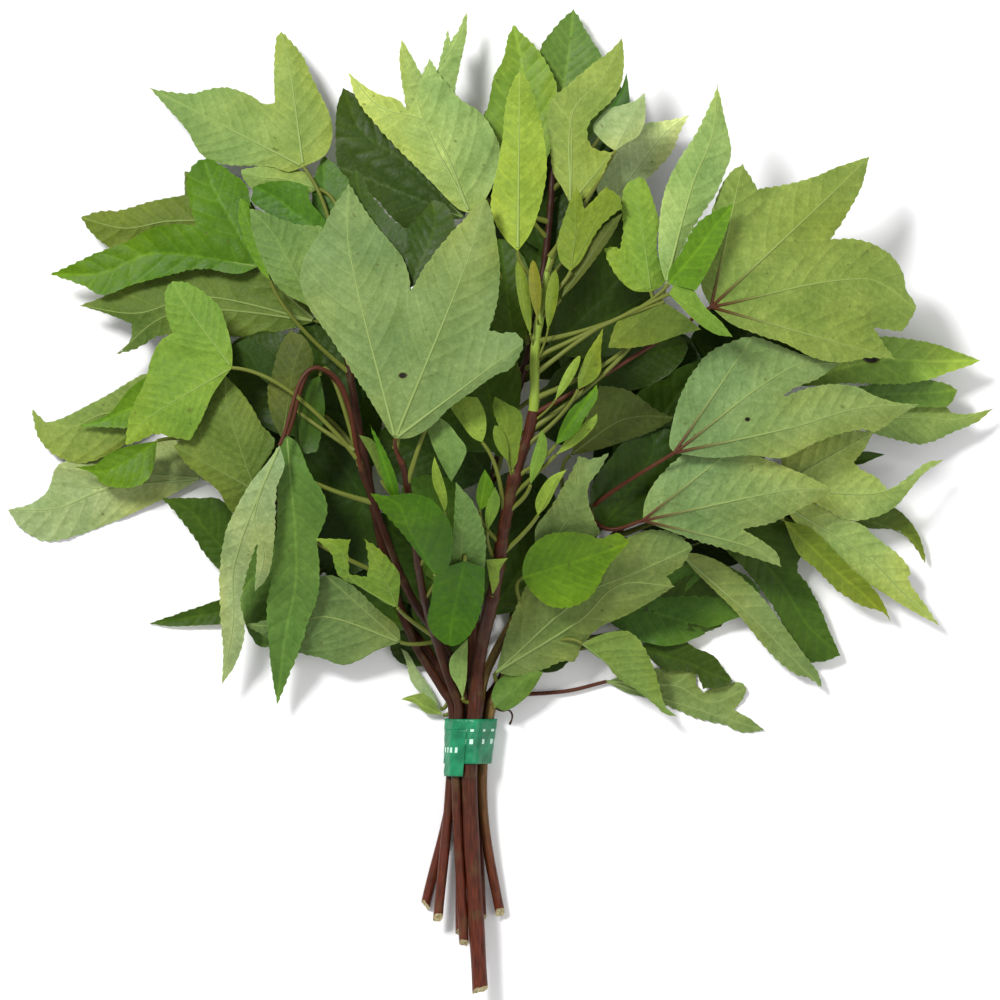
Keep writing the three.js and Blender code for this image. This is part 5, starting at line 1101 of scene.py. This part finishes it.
def finished(material, tree, shader, base, rough, gloss, height=None, strength=0.0):
    """The material with its colour, roughness and gloss, and with relief where a height is given."""
    tree.links.new(base, shader.inputs["Base Color"])
    if isinstance(rough, bpy.types.NodeSocket):
        tree.links.new(rough, shader.inputs["Roughness"])
    else:
        shader.inputs["Roughness"].default_value = rough
    shader.inputs["Specular IOR Level"].default_value = gloss
    if height is not None:
        bump = add_node(tree, "ShaderNodeBump", {"Strength": strength, "Distance": RELIEF_DEPTH * MM},
                        {"Height": height})
        tree.links.new(bump.outputs[0], shader.inputs["Normal"])
    return material


def new_material(name):
    """A material with its shader tree and its surface shader."""
    material = bpy.data.materials.new(name)
    material.use_nodes = True
    tree = material.node_tree
    return material, tree, tree.nodes["Principled BSDF"]


def mixed(tree, share, a, b, how="MIX"):
    """A colour mixed from two, each a socket or a plain colour."""
    node = add_node(tree, "ShaderNodeMix", {"data_type": "RGBA", "blend_type": how})
    for socket, value in ((node.inputs[0], share), (node.inputs[6], a), (node.inputs[7], b)):
        if isinstance(value, bpy.types.NodeSocket):
            tree.links.new(value, socket)
        else:
            socket.default_value = value
    return node.outputs[2]


def ranged(tree, value, low, high, to_low, to_high):
    """A value stretched from one range to another, and held at its ends."""
    node = add_node(tree, "ShaderNodeMapRange", {1: low, 2: high, 3: to_low, 4: to_high}, {0: value})
    return node.outputs[0]


def pattern(tree, size, detail, place):
    """Noise whose patches are about size millimetres apart."""
    return add_node(tree, "ShaderNodeTexNoise", {"Scale": 1 / (size * MM), "Detail": detail},
                    {"Vector": place}).outputs[0]


def shaded(tree, share, base, tint):
    """The colour with a tint laid over it by a share."""
    return mixed(tree, share, base, mixed(tree, 1.0, base, tint, "MULTIPLY"))


def leaf_material(name, vein_tint, vein_share, ridge, rough, gloss, net_shade_share, strength):
    """Grown leaf skin: cloudy green whose wide patches are partly painted shade, with pale soft veins,
    yellowed margins, painted shade in the creases of its cell net, and a crumpled satin sheen.
    """
    material, tree, shader = new_material(name)
    place = add_node(tree, "ShaderNodeTexCoord").outputs["Object"]
    tone = read(tree, "tone", "Color")
    marks = read(tree, "marks", "Vector")
    from_rib, from_vein, from_edge = add_node(tree, "ShaderNodeSeparateXYZ", {}, {0: marks}).outputs
    wide = pattern(tree, WARMTH_AND_SHADE_SIZE, 2.0, place)
    broad = pattern(tree, CLOUD_SIZE, 4.0, place)
    fine = pattern(tree, GRAIN_SIZE, 3.0, place)
    speck = pattern(tree, SPECK_SIZE, 1.0, place)
    net = {"feature": "DISTANCE_TO_EDGE", "Scale": 1 / (NET_SIZE * MM)}
    cells = add_node(tree, "ShaderNodeTexVoronoi", net, {"Vector": place}).outputs["Distance"]
    tints = [
        # Wide patches: random tone, and painted shade and light that give each leaf darker and lighter parts
        (wide, 0.35, 0.65, (0.84, 0.9, 0.94, 1), (1.16, 1.08, 0.95, 1)),
        (broad, 0.3, 0.7, (0.78, 0.83, 0.76, 1), (1.18, 1.13, 1.2, 1)),
        (fine, 0.3, 0.72, (0.84, 0.87, 0.82, 1), (1.14, 1.11, 1.14, 1)),
    ]
    base = tone
    for noise, low, high, dark, light in tints:
        tint = mixed(tree, ranged(tree, noise, low, high, 0.0, 1.0), dark, light)
        base = mixed(tree, 1.0, base, tint, "MULTIPLY")
    # The cell net's darker lines are painted shade in the fine creases of the crumpled skin
    base = shaded(tree, ranged(tree, cells, 0.0, 0.1, net_shade_share, 0.0), base, (0.62, 0.66, 0.6, 1))
    margin = ranged(tree, from_edge, 0.0, MARGIN_WIDTH, 1.0, 0.0)
    ripe = ranged(tree, wide, 0.5, 0.62, 0.0, 1.0)
    base = shaded(tree, math_node(tree, "MULTIPLY", margin, ripe), base, (1.1, 1.02, 0.82, 1))
    lines = ranged(tree, from_vein, 0.05, 0.55, vein_share, 0.0)
    rib = ranged(tree, from_rib, 0.2, 0.9, 2 * vein_share, 0.0)
    rim = ranged(tree, from_edge, 0.1, 0.7, 0.8 * vein_share, 0.0)
    for other in (rib, rim):
        lines = math_node(tree, "MAXIMUM", lines, other)
    base = shaded(tree, lines, base, vein_tint)
    base = mixed(tree, ranged(tree, speck, 0.74, 0.78, 0.0, 0.5), base, (*linear("4a4a22"), 1))
    satin = ranged(tree, fine, 0.2, 0.8, rough - 0.08, rough + 0.1)
    raised = ranged(tree, from_vein, 0.0, 1.3, ridge, 0.0)
    relief = add_node(tree, "ShaderNodeMath", {"operation": "MULTIPLY_ADD", 1: 0.35}, {0: fine, 2: cells})
    height = math_node(tree, "ADD", relief.outputs[0], raised)
    return finished(material, tree, shader, base, satin, gloss, height, strength)


def skin_material(name, streak, rough, dark, light):
    """Grown stem skin: red-brown or green with long satin streaks along the stem and a few grey patches."""
    material, tree, shader = new_material(name)
    tone = read(tree, "tone", "Color")
    marks = read(tree, "marks", "Vector")
    place = add_node(tree, "ShaderNodeTexCoord").outputs["Object"]
    scales = (1 / STREAK_LENGTH, STREAKS_ROUND, 1.0)
    stretch = add_node(tree, "ShaderNodeMapping", {"Scale": scales}, {"Vector": marks}).outputs[0]
    streaks = pattern(tree, 1 / MM, 4.0, stretch)
    tint = mixed(tree, ranged(tree, streaks, 0.35, 0.68, 0.0, 1.0), dark, light)
    base = shaded(tree, streak, tone, tint)
    grey = ranged(tree, pattern(tree, LICHEN_SIZE, 3.0, place), 0.56, 0.74, 0.0, 0.4 * streak)
    base = mixed(tree, grey, base, (*TONES["lichen"], 1))
    return finished(material, tree, shader, base, rough, 0.2, streaks, 0.3)


def cloudy_material(name, size, low, high, dark, light, rough, gloss):
    """A plain surface, clouded between two colours."""
    material, tree, shader = new_material(name)
    place = add_node(tree, "ShaderNodeTexCoord").outputs["Object"]
    share = ranged(tree, pattern(tree, size, 3.0, place), low, high, 0.0, 1.0)
    base = mixed(tree, share, (*linear(dark), 1), (*linear(light), 1))
    return finished(material, tree, shader, base, rough, gloss)


def plain_material(name, colour, rough):
    """A surface of one even colour."""
    material, tree, shader = new_material(name)
    shader.inputs["Base Color"].default_value = (*colour, 1)
    shader.inputs["Roughness"].default_value = rough
    return material


# Upper sides are deep green with a low satin sheen and sunken veins, undersides pale, matt and ridged
upper = leaf_material("roselle_leaf_upper_side_grown", vein_tint=(1.5, 1.42, 1.3, 1), vein_share=0.36,
                      ridge=-0.7, rough=0.46, gloss=0.13, net_shade_share=0.2, strength=0.26)
under = leaf_material("roselle_leaf_underside_grown", vein_tint=(1.4, 1.32, 1.36, 1), vein_share=0.34,
                      ridge=0.7, rough=0.58, gloss=0.12, net_shade_share=0.34, strength=0.5)
# Skins of ribs and stalks are smooth and juicy, bark is satin with reddish streaks
rib_skin = skin_material("leaf_rib_grown", streak=0.15, rough=0.5, dark=(0.8, 0.8, 0.8, 1),
                         light=(1.1, 1.1, 1.1, 1))
stalk_skin = skin_material("leaf_stalk_skin_grown", streak=0.5, rough=0.42, dark=(0.6, 0.62, 0.6, 1),
                           light=(1.25, 1.2, 1.1, 1))
bark_skin = skin_material("green_wood_bark_grown", streak=1.0, rough=0.44, dark=(0.62, 0.56, 0.54, 1),
                          light=(1.75, 1.4, 1.25, 1))
# Knife-cut green wood: pale, matt and fibrous, so the ends stand out from the dark bark
pith = cloudy_material("green_wood_pith_knife_cut", PITH_SIZE, low=0.35, high=0.65, dark="8d7a55",
                       light="c9c08f", rough=0.8, gloss=0.5)
# Extruded film: an even green with a soft gloss; its darker and lighter clouds are painted shade and light on
# its wrinkles
film = cloudy_material("polyethylene_tape_extruded_green", WRINKLE_SHADE_SIZE, low=0.35, high=0.7, dark="0a6541",
                       light="188559", rough=0.34, gloss=0.35)
# Printed ink: a thin, slightly green white
ink = plain_material("white_ink_printed", linear("b9d8c8"), 0.45)


def dress(piece, node):
    """Builds a piece, ties it to the bunch and puts it in the place of its node."""
    built = piece.build()
    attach(built, "root")
    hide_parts(node)


for number, stem in enumerate(STEMS):
    rng = np.random.default_rng(number + FIRST_SEED)
    blades = Piece(stem["name"] + "_blades", [upper, under, rib_skin])
    for blade in stem["leaves"]:
        add_blade(blades, blade, rng)
    dress(blades, stem["name"])
    woods = Piece(stem["name"] + "_bark", [stalk_skin, bark_skin, pith])
    add_stem(woods, stem, rng)
    if "curl" in stem:
        add_curl(woods, stem["curl"])
    dress(woods, stem["name"])

rng = np.random.default_rng(TAPE_SEED)
band = Piece("binding_tape_film", [film, ink])
outside = TAPE_GAP + TAPE_THICKNESS
add_band(band, TAPE_BOTTOM_Y, TAPE_TOP_Y, TAPE_GAP, outside, np.arange(TAPE_TURNS) / TAPE_TURNS * TAU, True,
         TAPE_DASHED_ROWS, rng)
add_band(band, LAP_BOTTOM_Y, LAP_TOP_Y, outside - LAP_SUNK, outside + LAP_THICKNESS,
         np.linspace(LAP_START, LAP_END, LAP_TURNS), False, LAP_DASHED_ROWS, rng)
dress(band, "binding_tape")

bpy.ops.mesh.primitive_plane_add(size=FLOOR_SIZE, location=(0, 0, FLOOR_HEIGHT))
floor = bpy.context.object
floor.name = "studio_floor"
floor.data.materials.append(plain_material("studio_floor_matt_white", (0.9, 0.9, 0.9), 0.9))


def add_softbox(name, place, size, power):
    """A soft studio light that looks at the bunch."""
    light = bpy.data.lights.new(name, "AREA")
    light.shape = "SQUARE"
    light.size = size
    light.energy = power
    box = bpy.data.objects.new(name, light)
    box.location = place
    box.rotation_euler = (Vector(LIGHT_AIM) - Vector(place)).to_track_quat("-Z", "Y").to_euler()
    bpy.context.scene.collection.objects.link(box)


add_softbox("key_softbox", (-1.0, 1.1, 1.9), 0.5, 58)
add_softbox("fill_softbox", (1.4, -0.6, 1.9), 1.6, 14)
world = bpy.data.worlds.new("studio")
world.use_nodes = True
world.node_tree.nodes["Background"].inputs[0].default_value = (1, 1, 1, 1)
world.node_tree.nodes["Background"].inputs[1].default_value = SKY_POWER
bpy.context.scene.world = world

lens = bpy.data.cameras.new("overhead_camera")
lens.sensor_width = FILM_WIDTH
lens.lens = FILM_WIDTH * CAMERA_DISTANCE / PICTURE_WIDTH
lens.clip_end = 20
camera = bpy.data.objects.new("overhead_camera", lens)
camera.location = (0, FRAME_SHIFT, CAMERA_DISTANCE + SHARP_HEIGHT)
bpy.context.scene.collection.objects.link(camera)
bpy.context.scene.camera = camera
bpy.context.scene.view_settings.view_transform = "Standard"
